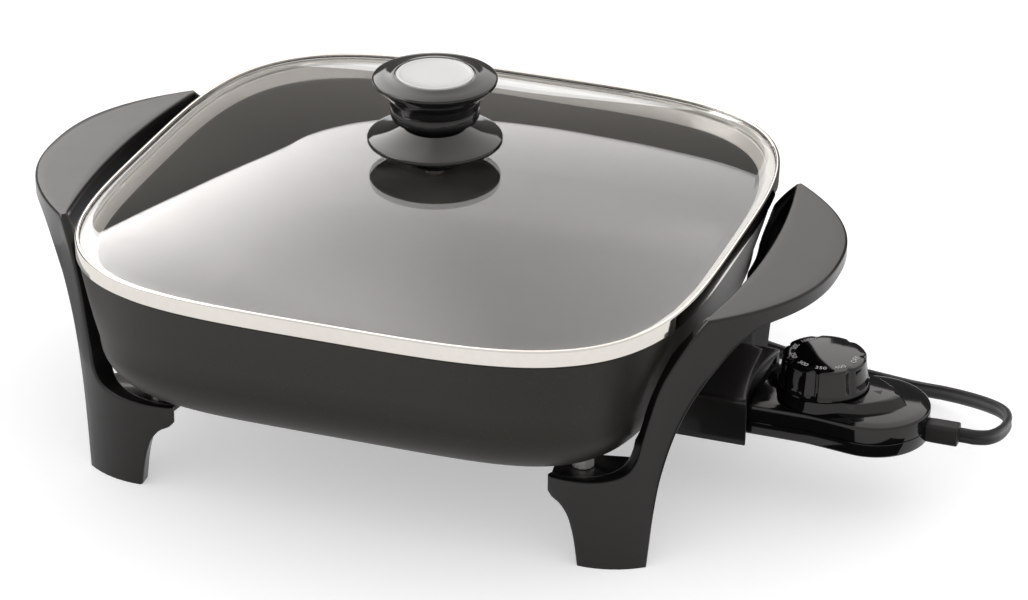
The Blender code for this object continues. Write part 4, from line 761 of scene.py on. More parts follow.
def makePlug(look):
    # shares of the plug's length, half width and half thickness
    shares = [(0, 0.34, 0.46), (0.015, 0.40, 0.53), (0.07, 0.45, 0.60), (0.16, 0.55, 0.70),
              (0.24, 0.60, 0.76), (0.34, 0.63, 0.81), (0.44, 0.71, 0.87), (0.54, 0.83, 0.92),
              (0.64, 0.95, 0.98), (0.70, 1, 1), (0.94, 1, 1), (0.98, 0.98, 0.98), (1, 0.93, 0.93)]
    rings = [blockRing(panX + look["face"] - look["length"] * along, look["y"], look["level"],
                       look["halfWidth"] * wide, look["halfThick"] * tall, look["power"])
             for along, wide, tall in shares]
    plug = loftRings("plugMoulding", rings)
    bevelEdges(plug, fineBevel, 2)
    smooth(plug, 50)
    blades = []
    for side in (-1, 1):
        face = panX + look["face"] - look["length"]
        y = look["y"] + side * look["bladeSpread"]
        thick, tall = look["bladeHalfThick"], look["bladeHalfHeight"]
        blade = addBlock((face - look["bladeReach"], y - thick, look["level"] - tall),
                         (face + look["bladeRoot"], y + thick, look["level"] + tall))
        bevelEdges(blade, 0.00035, 2)
        deselectAll()
        bpy.ops.mesh.primitive_cylinder_add(vertices=20, radius=look["eye"], depth=0.01,
                                            location=(face - look["eyeReach"], y, look["level"]),
                                            rotation=(math.pi / 2, 0, 0))
        settle(bpy.context.object)
        cutAway(blade, bpy.context.object)
        blade.name = "plugBlade" + ("Front" if side < 0 else "Rear")
        smooth(blade)
        blades.append(blade)
    return plug, blades


def makeTie(look, coil):
    # a wide ring round both layers of the cord, at the back of the coil
    middleY = coil["coilY"] + coil["coilRadius"] - coil["coilPitch"] / 2
    level = coil["coilLevel"] + coil["coilPitch"] / 2
    rings = []
    for along, share in ((-1, 0), (-0.96, 0.5), (-0.85, 1), (0.85, 1), (0.96, 0.5), (1, 0)):
        grow = share * look["rounding"]
        rings.append(blockRing(panX + coil["coilX"] + along * look["halfLength"], middleY, level,
                               look["halfWidth"] + grow, look["halfHeight"] + grow, look["power"], 40))
    tie = loftRings("cordTie", rings, joined=True)
    smooth(tie)
    return tie


plug, blades = makePlug(plugLook)
tie = makeTie(tieLook, cordLook)
dress(plug, made["softRubber"], "control", "rubber", "plug_body")
dress(blades[0], made["screwSteel"], "control", "screw_steel", "plug_blade_front")
dress(blades[1], made["screwSteel"], "control", "screw_steel", "plug_blade_rear")
dress(tie, made["blackMoulding"], "control", "rubber", "cord_tie")
print("cord and plug made")


# Pan

panLook = {
    "halfX": 0.149, "halfY": 0.147, "rim": 0.1155, "bottom": 0.0484, "radius": 0.0279,
    "taper": 0.328, "wall": 0.003, "base": 0.004, "rimPower": 3.75, "bottomPower": 5.0,
    "postX": 0.1042, "postY": 0.0877, "post": 0.0065, "postHole": 0.0023,
    "lugX": 0.106, "lugY": 0.0225, "lug": 0.0045, "lugHole": 0.0018, "lugDrop": 0.003,
    "wellStart": 0.053, "wellEnd": 0.122, "well": 0.0057, "wellBore": 0.0038, "wellLevel": 0.0449,
}
holeLow = 0.03       # where the cutters for upright holes begin


def panInset(z):
    # how far the wall stands in from the rim's outline
    level = panLook["rim"] - panLook["bottom"] - panLook["radius"]
    down = max(0.0, panLook["rim"] - z)
    fall = min(1.0, max(0.0, down - level) / panLook["radius"])
    return panLook["taper"] * min(down, level) + panLook["radius"] * (1 - math.sqrt(1 - fall ** 2))


def panPower(z):
    level = panLook["rim"] - panLook["bottom"] - panLook["radius"]
    down = min(1.0, max(0.0, (panLook["rim"] - z) / level))
    return panLook["rimPower"] + (panLook["bottomPower"] - panLook["rimPower"]) * down


def panRing(inset, z):
    return squareRing(panLook["halfX"] - inset, panLook["halfY"] - inset, panPower(z), z)


def makePan(look):
    level = look["rim"] - look["bottom"] - look["radius"]
    taper = look["taper"] * level
    turnLevel = look["bottom"] + look["radius"]
    rings = [panRing(taper + look["radius"] + 0.012, look["bottom"])]
    for k in range(15):
        turn = math.pi / 2 * (1 - k / 14)
        rings.append(panRing(taper + look["radius"] * (1 - math.cos(turn)),
                             turnLevel - look["radius"] * math.sin(turn)))
    for share in (0.25, 0.5, 0.75):
        rings.append(panRing(taper * (1 - share), turnLevel + level * share))
    rings += [panRing(0, look["rim"] - 0.0008), panRing(0.0003, look["rim"] - 0.0002),
              panRing(0.0009, look["rim"]), panRing(0.0023, look["rim"]),
              panRing(0.0029, look["rim"] - 0.0003), panRing(look["wall"] + 0.0003, look["rim"] - 0.001)]
    inner = look["radius"] - look["wall"]
    floor = look["bottom"] + look["base"]
    for k in range(15):
        turn = math.pi / 2 * k / 14
        rings.append(panRing(look["wall"] + taper + inner * (1 - math.cos(turn)),
                             floor + inner * (1 - math.sin(turn))))
    pan = loftRings("castPan", rings)
    top, cutTop = look["bottom"] + 0.002, look["bottom"] + 0.0028
    bosses = []
    for x in (-look["postX"], look["postX"]):
        for y in (-look["postY"], look["postY"]):
            boss = addCylinder(look["post"], look["bottom"] - smallGap, top, (panX + x, y))
            cutAway(boss, addCylinder(look["postHole"], holeLow, cutTop, (panX + x, y), 24))
            bosses.append(boss)
    for y in (-look["lugY"], look["lugY"]):
        place = (panX + look["lugX"], y)
        boss = addCylinder(look["lug"], look["bottom"] - look["lugDrop"], top, place)
        cutAway(boss, addCylinder(look["lugHole"], holeLow, cutTop, place, 20))
        bosses.append(boss)
    start, end = panX + look["wellStart"], panX + look["wellEnd"]
    well = addRod(look["well"], start, end, look["wellLevel"])
    cutAway(well, addRod(look["wellBore"], start + look["wall"], end + 0.008, look["wellLevel"]))
    bevelEdges(well, fineBevel, 2)
    joinPieces(pan, *bosses, well)
    smooth(pan, 30)
    return pan


pan = makePan(panLook)
dress(pan, made["darkCoating"], "base", "dark_coating", "pan")
print("pan made")


# Handles with their legs

handleLook = {
    "reach": 0.1972, "bow": 0.0389, "power": 2.35, "halfSpan": 0.0775, "height": 0.1195,
    "rimDepth": 0.008, "innerReach": 0.163, "innerBow": 0.0075, "wall": 0.003, "skirtDepth": 0.022,
    "corner": 0.0014, "straight": 0.022, "heading": math.radians(134.4), "turnRadius": 0.045,
    "run": 0.0775, "flange": 0.009, "growthShare": 0.34, "fallShare": 0.10, "shelf": 0.0419,
    "shelfThick": 0.0037, "besidePan": 0.008, "besideHigh": 0.102, "besideFade": 0.022,
    "lateShare": 0.55, "lateStart": 0.42, "clearance": 0.0015, "skirtEdge": 0.0006, "lip": 0.0012,
    "bowSteps": 60,
}
# the edges of a leg, as shares of its run and of the handle's height
innerEdge = [
    (0.00, 1.000), (0.10, 0.935), (0.20, 0.858), (0.30, 0.757), (0.362, 0.640),
    (0.400, 0.550), (0.430, 0.470), (0.500, 0.408), (0.640, 0.377), (0.830, 0.362), (1.00, 0.352),
]
outerEdge = [
    (-0.42, 0.931), (-0.30, 0.912), (-0.16, 0.850), (-0.01, 0.745), (0.115, 0.640),
    (0.195, 0.540), (0.245, 0.450), (0.282, 0.370), (0.300, 0.310), (0.310, 0.270), (0.318, 0.235),
]
footInner = [(1.00, 0.285), (0.965, 0.262), (0.905, 0.245), (0.855, 0.205), (0.825, 0.150),
             (0.805, 0.090), (0.785, 0.000)]
footOuter = [(0.322, 0.215), (0.326, 0.195), (0.330, 0.172), (0.335, 0.140), (0.340, 0.100),
             (0.347, 0.060), (0.356, 0.000)]


def handlePlan(look):
    # the plan of the outer wall, from the handle's middle round to the end of a leg
    ys = np.linspace(0, look["halfSpan"], look["bowSteps"])
    places = [(look["reach"] - look["bow"] * (y / look["halfSpan"]) ** look["power"], y) for y in ys]
    heading = np.array([math.cos(look["heading"]), math.sin(look["heading"])])
    tip = np.array(places[-1])
    places += [tuple(tip + heading * look["straight"] * k / 8) for k in range(1, 9)]
    bendStart = np.array(places[-1])
    centre = bendStart + look["turnRadius"] * np.array([-heading[1], heading[0]])
    sweep = (look["run"] - look["straight"]) / look["turnRadius"]
    for k in range(1, 31):
        turn = look["heading"] + sweep * k / 30
        places.append(tuple(centre + look["turnRadius"] * np.array([math.sin(turn), -math.cos(turn)])))
    places = np.array(places)
    ahead = np.gradient(places, axis=0)
    ahead /= np.linalg.norm(ahead, axis=1)[:, None]
    waysIn = np.stack([-ahead[:, 1], ahead[:, 0]], axis=1)
    runs = np.concatenate([[0], np.cumsum(np.linalg.norm(np.diff(places, axis=0), axis=1))])
    return places, waysIn, runs, runs[look["bowSteps"] - 1]


plan = handlePlan(handleLook)


def onWall(run, depth):
    places, waysIn, runs, tip = plan
    at = run + tip
    place = np.array([np.interp(at, runs, places[:, k]) for k in range(2)])
    way = np.array([np.interp(at, runs, waysIn[:, k]) for k in range(2)])
    return place + way * depth / np.linalg.norm(way)


def innerX(y):
    return handleLook["innerReach"] - handleLook["innerBow"] * (y / handleLook["halfSpan"]) ** 2


def clearDepth(run, z, depth):
    # less deep where the leg's turned edge would come too near the pan
    inset = panInset(z) - handleLook["clearance"]
    halfX, halfY, power = panLook["halfX"] - inset, panLook["halfY"] - inset, panPower(z)
    for share in np.linspace(1, handleLook["wall"] / depth, 40):
        x, y = onWall(run, depth * share)
        if abs(x / halfX) ** power + abs(y / halfY) ** power > 1:
            break
    return depth * share


def flangeDepth(run, z):
    # how far the leg's turned edge reaches in; it grows away from the handle, then falls off
    look = handleLook
    along, growth = run / look["run"], look["growthShare"]
    share = min(1.0, along / growth)
    deepest = look["flange"]
    if z > look["shelf"]:
        deepest += look["besidePan"] * min(1.0, max(0.0, (look["besideHigh"] - z) / look["besideFade"]))
    if z > look["shelf"] - look["shelfThick"] and along > growth:
        early = max(0.0, 1 - (along - growth) / look["fallShare"])
        late = look["lateShare"] * max(0.0, 1 - (along - look["lateStart"]) / 0.5)
        share = max(early, late)
    least = look["wall"] + look["lip"]
    return clearDepth(run, z, least + (deepest - least) * share)


def plateDepth(run):
    # how far the finger plate reaches in, up to its inner edge
    depth, least = handleLook["flange"], handleLook["lip"]
    outerX = onWall(run, 0)[0]
    for _ in range(14):
        x, y = onWall(run, depth)
        depth *= max(least, outerX - innerX(y)) / max(least, outerX - x)
    return depth


def legStations(look):
    # matching points on the two edges, from the foot up to the handle's middle
    sizes = (look["run"], look["height"], look["run"], look["height"])
    stations = []
    for inner, outer, steps in ((footInner, footOuter, 22), (innerEdge, outerEdge, 60)):
        pairs = np.hstack([inner, outer]) * sizes
        stations += [(tuple(row[:2]), tuple(row[2:])) for row in curveThrough(pairs, steps)[::-1]]
    middle = -plan[3]
    lastRun, lastHeight = stations[-1][1]
    rimLow = look["height"] - look["rimDepth"]
    for k in range(1, 31):
        part = k / 30
        stations.append(((middle * part, look["height"]),
                         (lastRun + (middle - lastRun) * part,
                          lastHeight + (rimLow - lastHeight) * min(1.0, 2 * part))))
    # the outer edge runs through its joint with the foot without a kink
    lows = np.array([low for _, low in stations])
    for _ in range(8):
        lows[1:-1] = (lows[:-2] + 2 * lows[1:-1] + lows[2:]) / 4
    return [(top, tuple(low)) for (top, _), low in zip(stations, lows)]


def handleSection(look, top, low, along, alongLow, deep, lowFlange):
    # one closed C-shaped section of the moulding, at one station
    wall, corner = look["wall"], look["corner"]
    ring = []

    def spot(run, height, depth):
        ring.append((*onWall(run, depth), height))

    # outside, from the low edge's flange round to the top plate's inner edge
    far = max(lowFlange, wall * 0.5)
    inwards = -alongLow
    for depth in np.linspace(far, corner, 4):
        spot(*low, depth)
    for k in range(1, 5):
        turn = math.pi / 2 * k / 5
        edge = low + inwards * corner * (1 - math.cos(turn))
        spot(*edge, corner * (1 - math.sin(turn)))
    start, end = low + inwards * corner, top + along * corner
    for share in np.linspace(0, 1, 9):
        edge = start + (end - start) * share
        spot(*edge, 0)
    for k in range(1, 5):
        turn = math.pi / 2 * k / 5
        edge = top + along * corner * (1 - math.sin(turn))
        spot(*edge, corner * (1 - math.cos(turn)))
    soft = min(look["lip"], (deep - corner) / 2)
    for depth in np.linspace(corner, deep - soft, 7):
        spot(*top, depth)
    for k in range(1, 5):
        turn = math.pi / 2 * k / 4
        edge = top + along * soft * (1 - math.cos(turn))
        spot(*edge, deep - soft + soft * math.sin(turn))
    # inside, back again
    under, bend = top + along * wall, wall + 0.0004
    for depth in np.linspace(deep, bend, 7):
        spot(*under, max(depth, bend))
    above = low + inwards * wall
    for share in np.linspace(0.06, 0.94, 7):
        edge = under + (above - under) * share
        spot(*edge, wall)
    for depth in np.linspace(bend, far, 3):
        spot(*above, max(depth, bend) if far > wall + 0.0005 else wall)
    return ring


def handleHalf(look):
    # the sections of one leg and half of the handle, from the foot up
    stations = np.array(legStations(look))
    ahead = np.gradient(stations[:, 0], axis=0)
    ahead[0] = (0, 1)
    aheadLow = np.gradient(stations[:, 1], axis=0)
    rings = []
    for number, ((top, low), (run, rise), (runLow, riseLow)) in enumerate(zip(stations, ahead, aheadLow)):
        along = np.array([-rise, run]) / math.hypot(run, rise)
        along *= math.copysign(1, along @ (low - top))
        alongLow = np.array([-riseLow, runLow]) / math.hypot(runLow, riseLow)
        alongLow *= math.copysign(1, alongLow @ (low - top))
        deep = plateDepth(top[0]) if top[0] < 0 else flangeDepth(*top)
        fade = min(1.0, max(0.0, (number - 44) / 30))
        lowFlange = look["flange"] * (1 - fade) + look["wall"] * 0.6 * fade
        rings.append(handleSection(look, top, low, along, alongLow, deep, lowFlange))
    return rings


def makeHandle(look, name, side, half):
    mirrored = [[(x, -y, z) for x, y, z in ring] for ring in half[-2::-1]]
    rings = [[(side * x + panX, y, max(z, 0)) for x, y, z in ring] for ring in half + mirrored]
    handle = loftRings(name, rings)

    # skirt under the inner edge of the finger plate
    ys = np.linspace(-1, 1, 33) * (look["halfSpan"] - look["flange"] / 2)
    high, low = look["height"] - 0.0016, look["height"] - look["skirtDepth"]
    rings = []
    for y in ys:
        x = innerX(y)
        near, far = side * (x + smallGap) + panX, side * (x + look["wall"]) + panX
        rings.append([(near, y, high), (near, y, low), (far, y, low), (far, y, high)])
    skirt = loftRings(name + "Skirt", rings)
    bevelEdges(skirt, look["skirtEdge"], 2, 50)

    # shelves that carry the pan's posts
    extras = [skirt]
    for end in (-1, 1):
        runs = np.linspace(outerEdge[-1][0] * look["run"] + look["wall"], look["run"] - look["lip"], 17)
        front = [onWall(run, look["wall"] / 2) for run in runs]
        back = [(panLook["postX"] * east, panLook["postY"] * north) for east, north in
                ((0.885, 1.075), (0.880, 0.950), (0.925, 0.895), (1.185, 0.828), (1.290, 0.930))]
        outline = [(side * x + panX, end * y) for x, y in (*front, *back)]
        shelf = loftRings(name + "Shelf", [[(x, y, z) for x, y in outline]
                                           for z in (look["shelf"] - look["shelfThick"], look["shelf"])])
        post = (side * panLook["postX"] + panX, end * panLook["postY"])
        cutAway(shelf, addCylinder(panLook["postHole"], holeLow, 0.05, post, 24))
        bevelEdges(shelf, 0.0005, 2, 40)
        extras.append(shelf)
    joinPieces(handle, *extras)
    smooth(handle, 38)
    return handle


halfRings = handleHalf(handleLook)
leftHandle = makeHandle(handleLook, "leftHandle", -1, halfRings)
rightHandle = makeHandle(handleLook, "rightHandle", 1, halfRings)
dress(leftHandle, made["blackMoulding"], "base", "black_moulding", "left_handle_leg")
dress(rightHandle, made["blackMoulding"], "base", "black_moulding", "right_handle_leg")
print("handles made")


# Terminal guard

guardLook = {"half": 0.0285, "wall": 0.003, "top": 0.0558, "bottom": 0.032, "start": 0.1292,
             "end": 0.1638, "scoop": 0.0034, "corner": 0.0022, "earHalf": 0.006, "earThick": 0.003,
             "lip": 0.0012, "bevel": 0.0007, "clearance": 0.0007}


def guardSection(look, x, scoop):
    ring = []
    corner, half, top = look["corner"], look["half"], look["top"]

    def spot(y, z):
        share = min(1.0, abs(y) / half)
        ring.append((panX + x - scoop * (1 - share ** 2), y, z))

    for z in np.linspace(look["bottom"], top - corner, 6):
        spot(-half, z)
    for k in range(1, 6):
        turn = math.pi / 2 * k / 6
        spot(-half + corner * (1 - math.cos(turn)), top - corner * (1 - math.sin(turn)))
    for y in np.linspace(-half + corner, half - corner, 25):
        spot(y, top)
    for k in range(1, 6):
        turn = math.pi / 2 * (1 - k / 6)
        spot(half - corner * (1 - math.cos(turn)), top - corner * (1 - math.sin(turn)))
    for z in np.linspace(top - corner, look["bottom"], 6):
        spot(half, z)
    inner, roof = half - look["wall"], top - look["wall"]
    for z in np.linspace(look["bottom"], roof, 6):
        spot(inner, z)
    for y in np.linspace(inner, -inner, 25)[1:-1]:
        spot(y, roof)
    for z in np.linspace(roof, look["bottom"], 6):
        spot(-inner, z)
    return ring


def panUnderside(inset):
    # the height at which the wall stands in by this much
    level = panLook["rim"] - panLook["bottom"] - panLook["radius"]
    beyond = inset - panLook["taper"] * level
    if beyond <= 0:
        return panLook["rim"] - inset / panLook["taper"]
    side = max(0.0, 1 - beyond / panLook["radius"])
    return panLook["bottom"] + panLook["radius"] * (1 - math.sqrt(1 - side * side))


def makeGuard(look):
    rings = []
    for share in (0, 0.2, 0.4, 0.6, 0.8, 1):
        rings.append(guardSection(look, look["start"] + (look["end"] - look["start"]) * share,
                                  look["scoop"] * share))
    guard = loftRings("terminalGuard", rings)
    bevelEdges(guard, look["bevel"], 3, 50)
    earTop = panLook["bottom"] - panLook["lugDrop"] - smallGap
    earStart, earEnd = panLook["lugX"] - look["earHalf"], panLook["lugX"] + look["earHalf"]
    inner = look["half"] - look["wall"]
    railLow, railEnd = look["bottom"] + look["lip"], look["start"] + look["wall"]
    extras = []
    # the rail's top follows the pan's underside
    rise = [(x, min(panUnderside(panLook["halfX"] - x) - look["clearance"], look["top"] - look["lip"]))
            for x in np.linspace(earEnd + smallGap, look["start"], 12)]
    rail = [(earStart, railLow), (railEnd, railLow), (railEnd, rise[-1][1]), *reversed(rise),
            (earEnd, earTop), (earStart, earTop)]
    for side in (-1, 1):
        near, far = side * (inner + smallGap), side * (look["half"] - smallGap)
        piece = loftRings("guardRail", [[(panX + x, y, z) for x, z in rail] for y in (near, far)])
        bevelEdges(piece, fineBevel, 2, 40)
        extras.append(piece)
        ends = sorted((side * (panLook["lugY"] - panLook["lug"]), side * (inner + look["wall"] / 2)))
        ear = addBlock((panX + earStart + smallGap, ends[0], earTop - look["earThick"]),
                       (panX + earEnd - smallGap, ends[1], earTop))
        lug = (panX + panLook["lugX"], side * panLook["lugY"])
        cutAway(ear, addCylinder(panLook["lugHole"], holeLow, 0.06, lug, 24))
        bevelEdges(ear, fineBevel, 2, 40)
        extras.append(ear)
    joinPieces(guard, *extras)
    smooth(guard, 35)
    return guard


guard = makeGuard(guardLook)
dress(guard, made["blackMoulding"], "base", "black_moulding", "terminal_guard")
print("guard made")


# Lid: steel rim and domed glass

lidLook = {"halfX": 0.150, "halfY": 0.148, "base": 0.1158, "top": 0.1237, "glassEdge": 0.1222,
           "thick": 0.0038, "edgeInset": 0.0015, "flange": 0.0035, "rise": 0.0197, "power": 3.75,
           "domePower": 2.2, "hole": 0.004}


def lidRing(inset, z):
    return squareRing(lidLook["halfX"] - inset, lidLook["halfY"] - inset, lidLook["power"], z)


def makeRim(look):
    base, top = look["base"], look["top"]
    # pairs of (inset from the lid's outline, height)
    profile = [
        (0.0002, base), (0, base + 0.0003), (0, top - 0.0010), (0.0001, top - 0.0006),
        (0.0003, top - 0.0003), (0.0006, top - 0.0001), (0.0010, top), (0.0014, top),
        (0.0017, top - 0.0002), (0.0018, top - 0.0005), (0.0018, top - 0.0012), (0.0011, top - 0.0012),
        (0.0011, base + 0.0012), (0.0032, base + 0.0011), (0.0032, base),
    ]
    rim = loftRings("steelRim", [lidRing(inset, z) for inset, z in profile], joined=True)
    smooth(rim, 30)
    # the rim's turned-in skirt, which shows through the glass
    profile = [
        (0.0031, base + 0.0001), (0.0031, base + 0.0010), (0.0060, base + 0.0011),
        (0.0064, base + 0.0009), (0.0067, base + 0.0005), (0.0091, base - 0.0040),
        (0.0091, base - 0.0044), (0.0088, base - 0.0046), (0.0083, base - 0.0045),
        (0.0080, base - 0.0042), (0.0056, base + 0.0001),
    ]
    skirt = loftRings("rimSkirt", [lidRing(inset, z) for inset, z in profile], joined=True)
    smooth(skirt, 30)
    return rim, skirt


def makeGlass(look):
    inset = look["edgeInset"] + look["flange"]
    halfX, halfY = look["halfX"] - inset, look["halfY"] - inset
    shares = [1, 0.97, 0.93, 0.88, 0.82, 0.75, 0.68, 0.60, 0.52, 0.44, 0.36, 0.28, 0.20, 0.12, 0.06]

    def dome(level):
        rings = []
        for share in shares:
            power = 2 + (look["power"] - 2) * share ** 2
            rise = look["rise"] * (1 - share ** look["domePower"])
            rings.append(squareRing(halfX * share, halfY * share, power, level + rise))
        rings.append(squareRing(look["hole"], look["hole"], 2, level + look["rise"]))
        return rings

    edge, under = look["glassEdge"], look["glassEdge"] - look["thick"]
    out = look["edgeInset"]
    rings = [lidRing(out + 0.0005, edge), *dome(edge), *dome(under)[::-1], lidRing(out + 0.0005, under),
             lidRing(out, under + 0.0006), lidRing(out, edge - 0.0006)]
    glass = loftRings("domedGlass", rings, joined=True)
    smooth(glass, 40)
    return glass


rim, rimSkirt = makeRim(lidLook)
dress(rim, made["brightSteel"], "lid", "polished_steel", "lid_rim")
dress(rimSkirt, made["satinSteel"], "lid", "polished_steel")
glass = makeGlass(lidLook)
dress(glass, made["clearGlass"], "lid", "lid_glass", "lid_glass")
print("lid made")


# Knob

knobLook = {"gasketLow": 0.1422, "gasketTop": 0.1434, "gasket": 0.011, "hubLow": 0.1437, "hub": 0.0125,
            "discLow": 0.1501, "disc": 0.0319, "neckLow": 0.1565, "neck": 0.0209, "capLow": 0.1745,
            "capTop": 0.1837, "cap": 0.0294, "badge": 0.0182}


def turnedPiece(name, profile, angle=30):
    piece = loftRings(name, [roundRing(radius, z) for radius, z in profile])
    smooth(piece, angle)
    return piece


def arc(centreR, centreZ, radius, start, end, steps=6):
    turns = [math.radians(start + (end - start) * k / steps) for k in range(steps + 1)]
    return [(centreR + radius * math.cos(turn), centreZ + radius * math.sin(turn)) for turn in turns]


def makeKnob(look):
    low, disc = look["discLow"], look["disc"]
    guard = turnedPiece("guardDisc", [
        (look["hub"] - 0.0008, look["hubLow"]), (look["hub"], look["hubLow"] + 0.0008),
        (look["hub"], low - 0.0010), (look["hub"] + 0.0004, low - 0.0003), (look["hub"] + 0.0012, low),
        *arc(disc - 0.0008, low + 0.0008, 0.0008, -90, 0), (disc, low + 0.0012),
        *arc(disc - 0.0008, low + 0.0016, 0.0008, 20, 70, 4),
        (disc - 0.0030, low + 0.0031), (disc - 0.0100, low + 0.0058), (0.0170, low + 0.0082),
        (0.0150, low + 0.0091), (0.0138, low + 0.0094)], angle=24)
    capLow, capTop, cap, neck = look["capLow"], look["capTop"], look["cap"], look["neck"]
    foot = look["neckLow"]
    grip = turnedPiece("knobGrip", [
        (0.0120, foot - 0.0004), (0.0146, foot + 0.0022), (0.0152, foot + 0.0028),
        (0.0158, foot + 0.0031), (0.0161, foot + 0.0036), (0.0162, foot + 0.0041),
        (0.0160, foot + 0.0046)], angle=24)
    hat = turnedPiece("knobCap", [
        (0.0140, foot + 0.0040), (0.0161, foot + 0.0041), (0.0176, foot + 0.0045),
        (0.0192, foot + 0.0050), (0.0203, foot + 0.0057), (neck - 0.0001, foot + 0.0067),
        (neck, foot + 0.0075), (neck, foot + 0.0104), (neck - 0.0002, foot + 0.0110),
        (neck - 0.0004, foot + 0.0113), (neck - 0.0003, foot + 0.0117),
        (neck + 0.0001, foot + 0.0121), (neck + 0.0003, foot + 0.0130),
        (neck + 0.0005, foot + 0.0146), (neck + 0.0008, foot + 0.0160),
        (neck + 0.0017, foot + 0.0177), (neck + 0.0028, capLow + 0.0010),
        (neck + 0.0046, capLow + 0.0022), (cap - 0.0022, capLow + 0.0037),
        (cap - 0.0008, capLow + 0.0051), (cap - 0.0002, capLow + 0.0060), (cap, capLow + 0.0067),
        (cap - 0.0001, capLow + 0.0072), (cap - 0.0004, capLow + 0.0075),
        (cap - 0.0009, capLow + 0.0077), (0.0245, capTop - 0.0009), (0.0206, capTop - 0.0003),
        (0.0198, capTop), (0.0190, capTop), (0.0187, capTop - 0.0003), (0.0186, capTop - 0.0014)],
        angle=24)
    edge = look["badge"]
    badge = turnedPiece("badgeDisc", [
        (edge, capTop - 0.0013), (edge, capTop - 0.0003), (edge - 0.0002, capTop + 0.0002),
        (edge - 0.0006, capTop + 0.0003), (edge - 0.0014, capTop + 0.00028), (edge - 0.0020, capTop),
        (edge - 0.0024, capTop - 0.0001), (0.010, capTop - 0.0001), (0.004, capTop - 0.0001)])
    outer, gasketLow, gasketTop = look["gasket"], look["gasketLow"], look["gasketTop"]
    gasket = turnedPiece("topGasket", [
        (outer - 0.0005, gasketLow), (outer, gasketLow + 0.0004), (outer, gasketTop - 0.0004),
        (outer - 0.0005, gasketTop)])
    return guard, grip, hat, badge, gasket


disc, grip, hat, badge, gasket = makeKnob(knobLook)
for piece in (hat, badge):      # kept out of the lid's mirror image
    piece.visible_glossy = False
    piece.visible_transmission = False
dress(disc, made["glossBlack"], "lid", "black_moulding", "knob_guard_disc")
dress(grip, made["glossBlack"], "lid", "black_moulding", "knob_body")
dress(hat, made["glossBlack"], "lid", "black_moulding")
dress(badge, made["badgeSilver"], "lid", "badge_silver", "knob_badge")
dress(gasket, made["softRubber"], "lid", "rubber", "knob_gasket_top")
print("knob made")


# Heat control

controlLook = {"start": 0.138, "neckEnd": 0.190, "neckHalf": 0.023, "endRadius": 0.0267, "endX": 0.2168,
               "bottom": 0.0355, "top": 0.0511, "seam": 0.0426, "wall": 0.0022, "crown": 0.001,
               "dome": 0.0218, "domeTip": 0.2325, "domeHeight": 0.0045, "dialX": 0.1926, "corner": 0.0015,
               "shaftHole": 0.0033, "screwX": 0.222, "screwY": 0.0165, "screwHole": 0.0030,
               "probeLevel": 0.0449, "probeHole": 0.0035, "terminalY": 0.014, "terminalHole": 0.0041,
               "cordLow": (0.235, -0.0043, 0.0361), "cordHigh": (0.25, 0.0043, 0.0467),
               "tipSide": ((0.0008, 0.0014), (0.0030, 0.0052), (0.0085, 0.0103), (0.0170, 0.0158)),
               "mark": ((0.2166, 0), (0.2204, -0.0018), (0.2204, 0.0018)), "markHeight": 0.00006}


def controlOutline(look, inset, z):
    half, radius, start = look["neckHalf"] - inset, look["endRadius"] - inset, look["start"] + inset
    corner = look["corner"]
    points = [(start, y) for y in np.linspace(half - corner, corner - half, 13)]
    for k in range(1, 5):
        turn = math.pi / 2 * k / 5
        points.append((start + corner * (1 - math.cos(turn)), -half + corner * (1 - math.sin(turn))))
    turns = [math.radians(-98 + 196 * k / 48) for k in range(49)]
    roundEnd = [(look["endX"] + radius * math.cos(turn), radius * math.sin(turn)) for turn in turns]
    # the side eases from the straight neck into the round end
    ease = look["neckEnd"]
    side = curveThrough([(start + corner, -half), (start + 0.02, -half), (ease - 0.004, -half - 0.0001),
                         (ease + 0.004, -half - 0.0006), roundEnd[0]], 26)
    points += [tuple(row) for row in side[:-1]] + roundEnd
    points += [(x, -y) for x, y in side[-2::-1]]
    for k in range(4, 0, -1):
        turn = math.pi / 2 * k / 5
        points.append((start + corner * (1 - math.cos(turn)), half - corner * (1 - math.sin(turn))))
    return [(panX + x, y, z) for x, y in points]


def domeOutline(look, inset, z):
    # round below the dial, with a tip that points away from the pan
    radius, tip = look["dome"] - inset, look["domeTip"] - 2 * inset
    lean = math.acos(radius / (tip - look["dialX"]))
    touch = (look["dialX"] + radius * math.cos(lean), radius * math.sin(lean))
    side = curveThrough([*((tip - back, y) for back, y in look["tipSide"]), touch], 20)
    points = [tuple(row) for row in side]
    for k in range(1, 48):
        turn = lean + (2 * math.pi - 2 * lean) * k / 48
        points.append((look["dialX"] + radius * math.cos(turn), radius * math.sin(turn)))
    points += [(x, -y) for x, y in side[::-1]]
    points.append((tip, 0))
    return [(panX + x, y, z) for x, y in points]


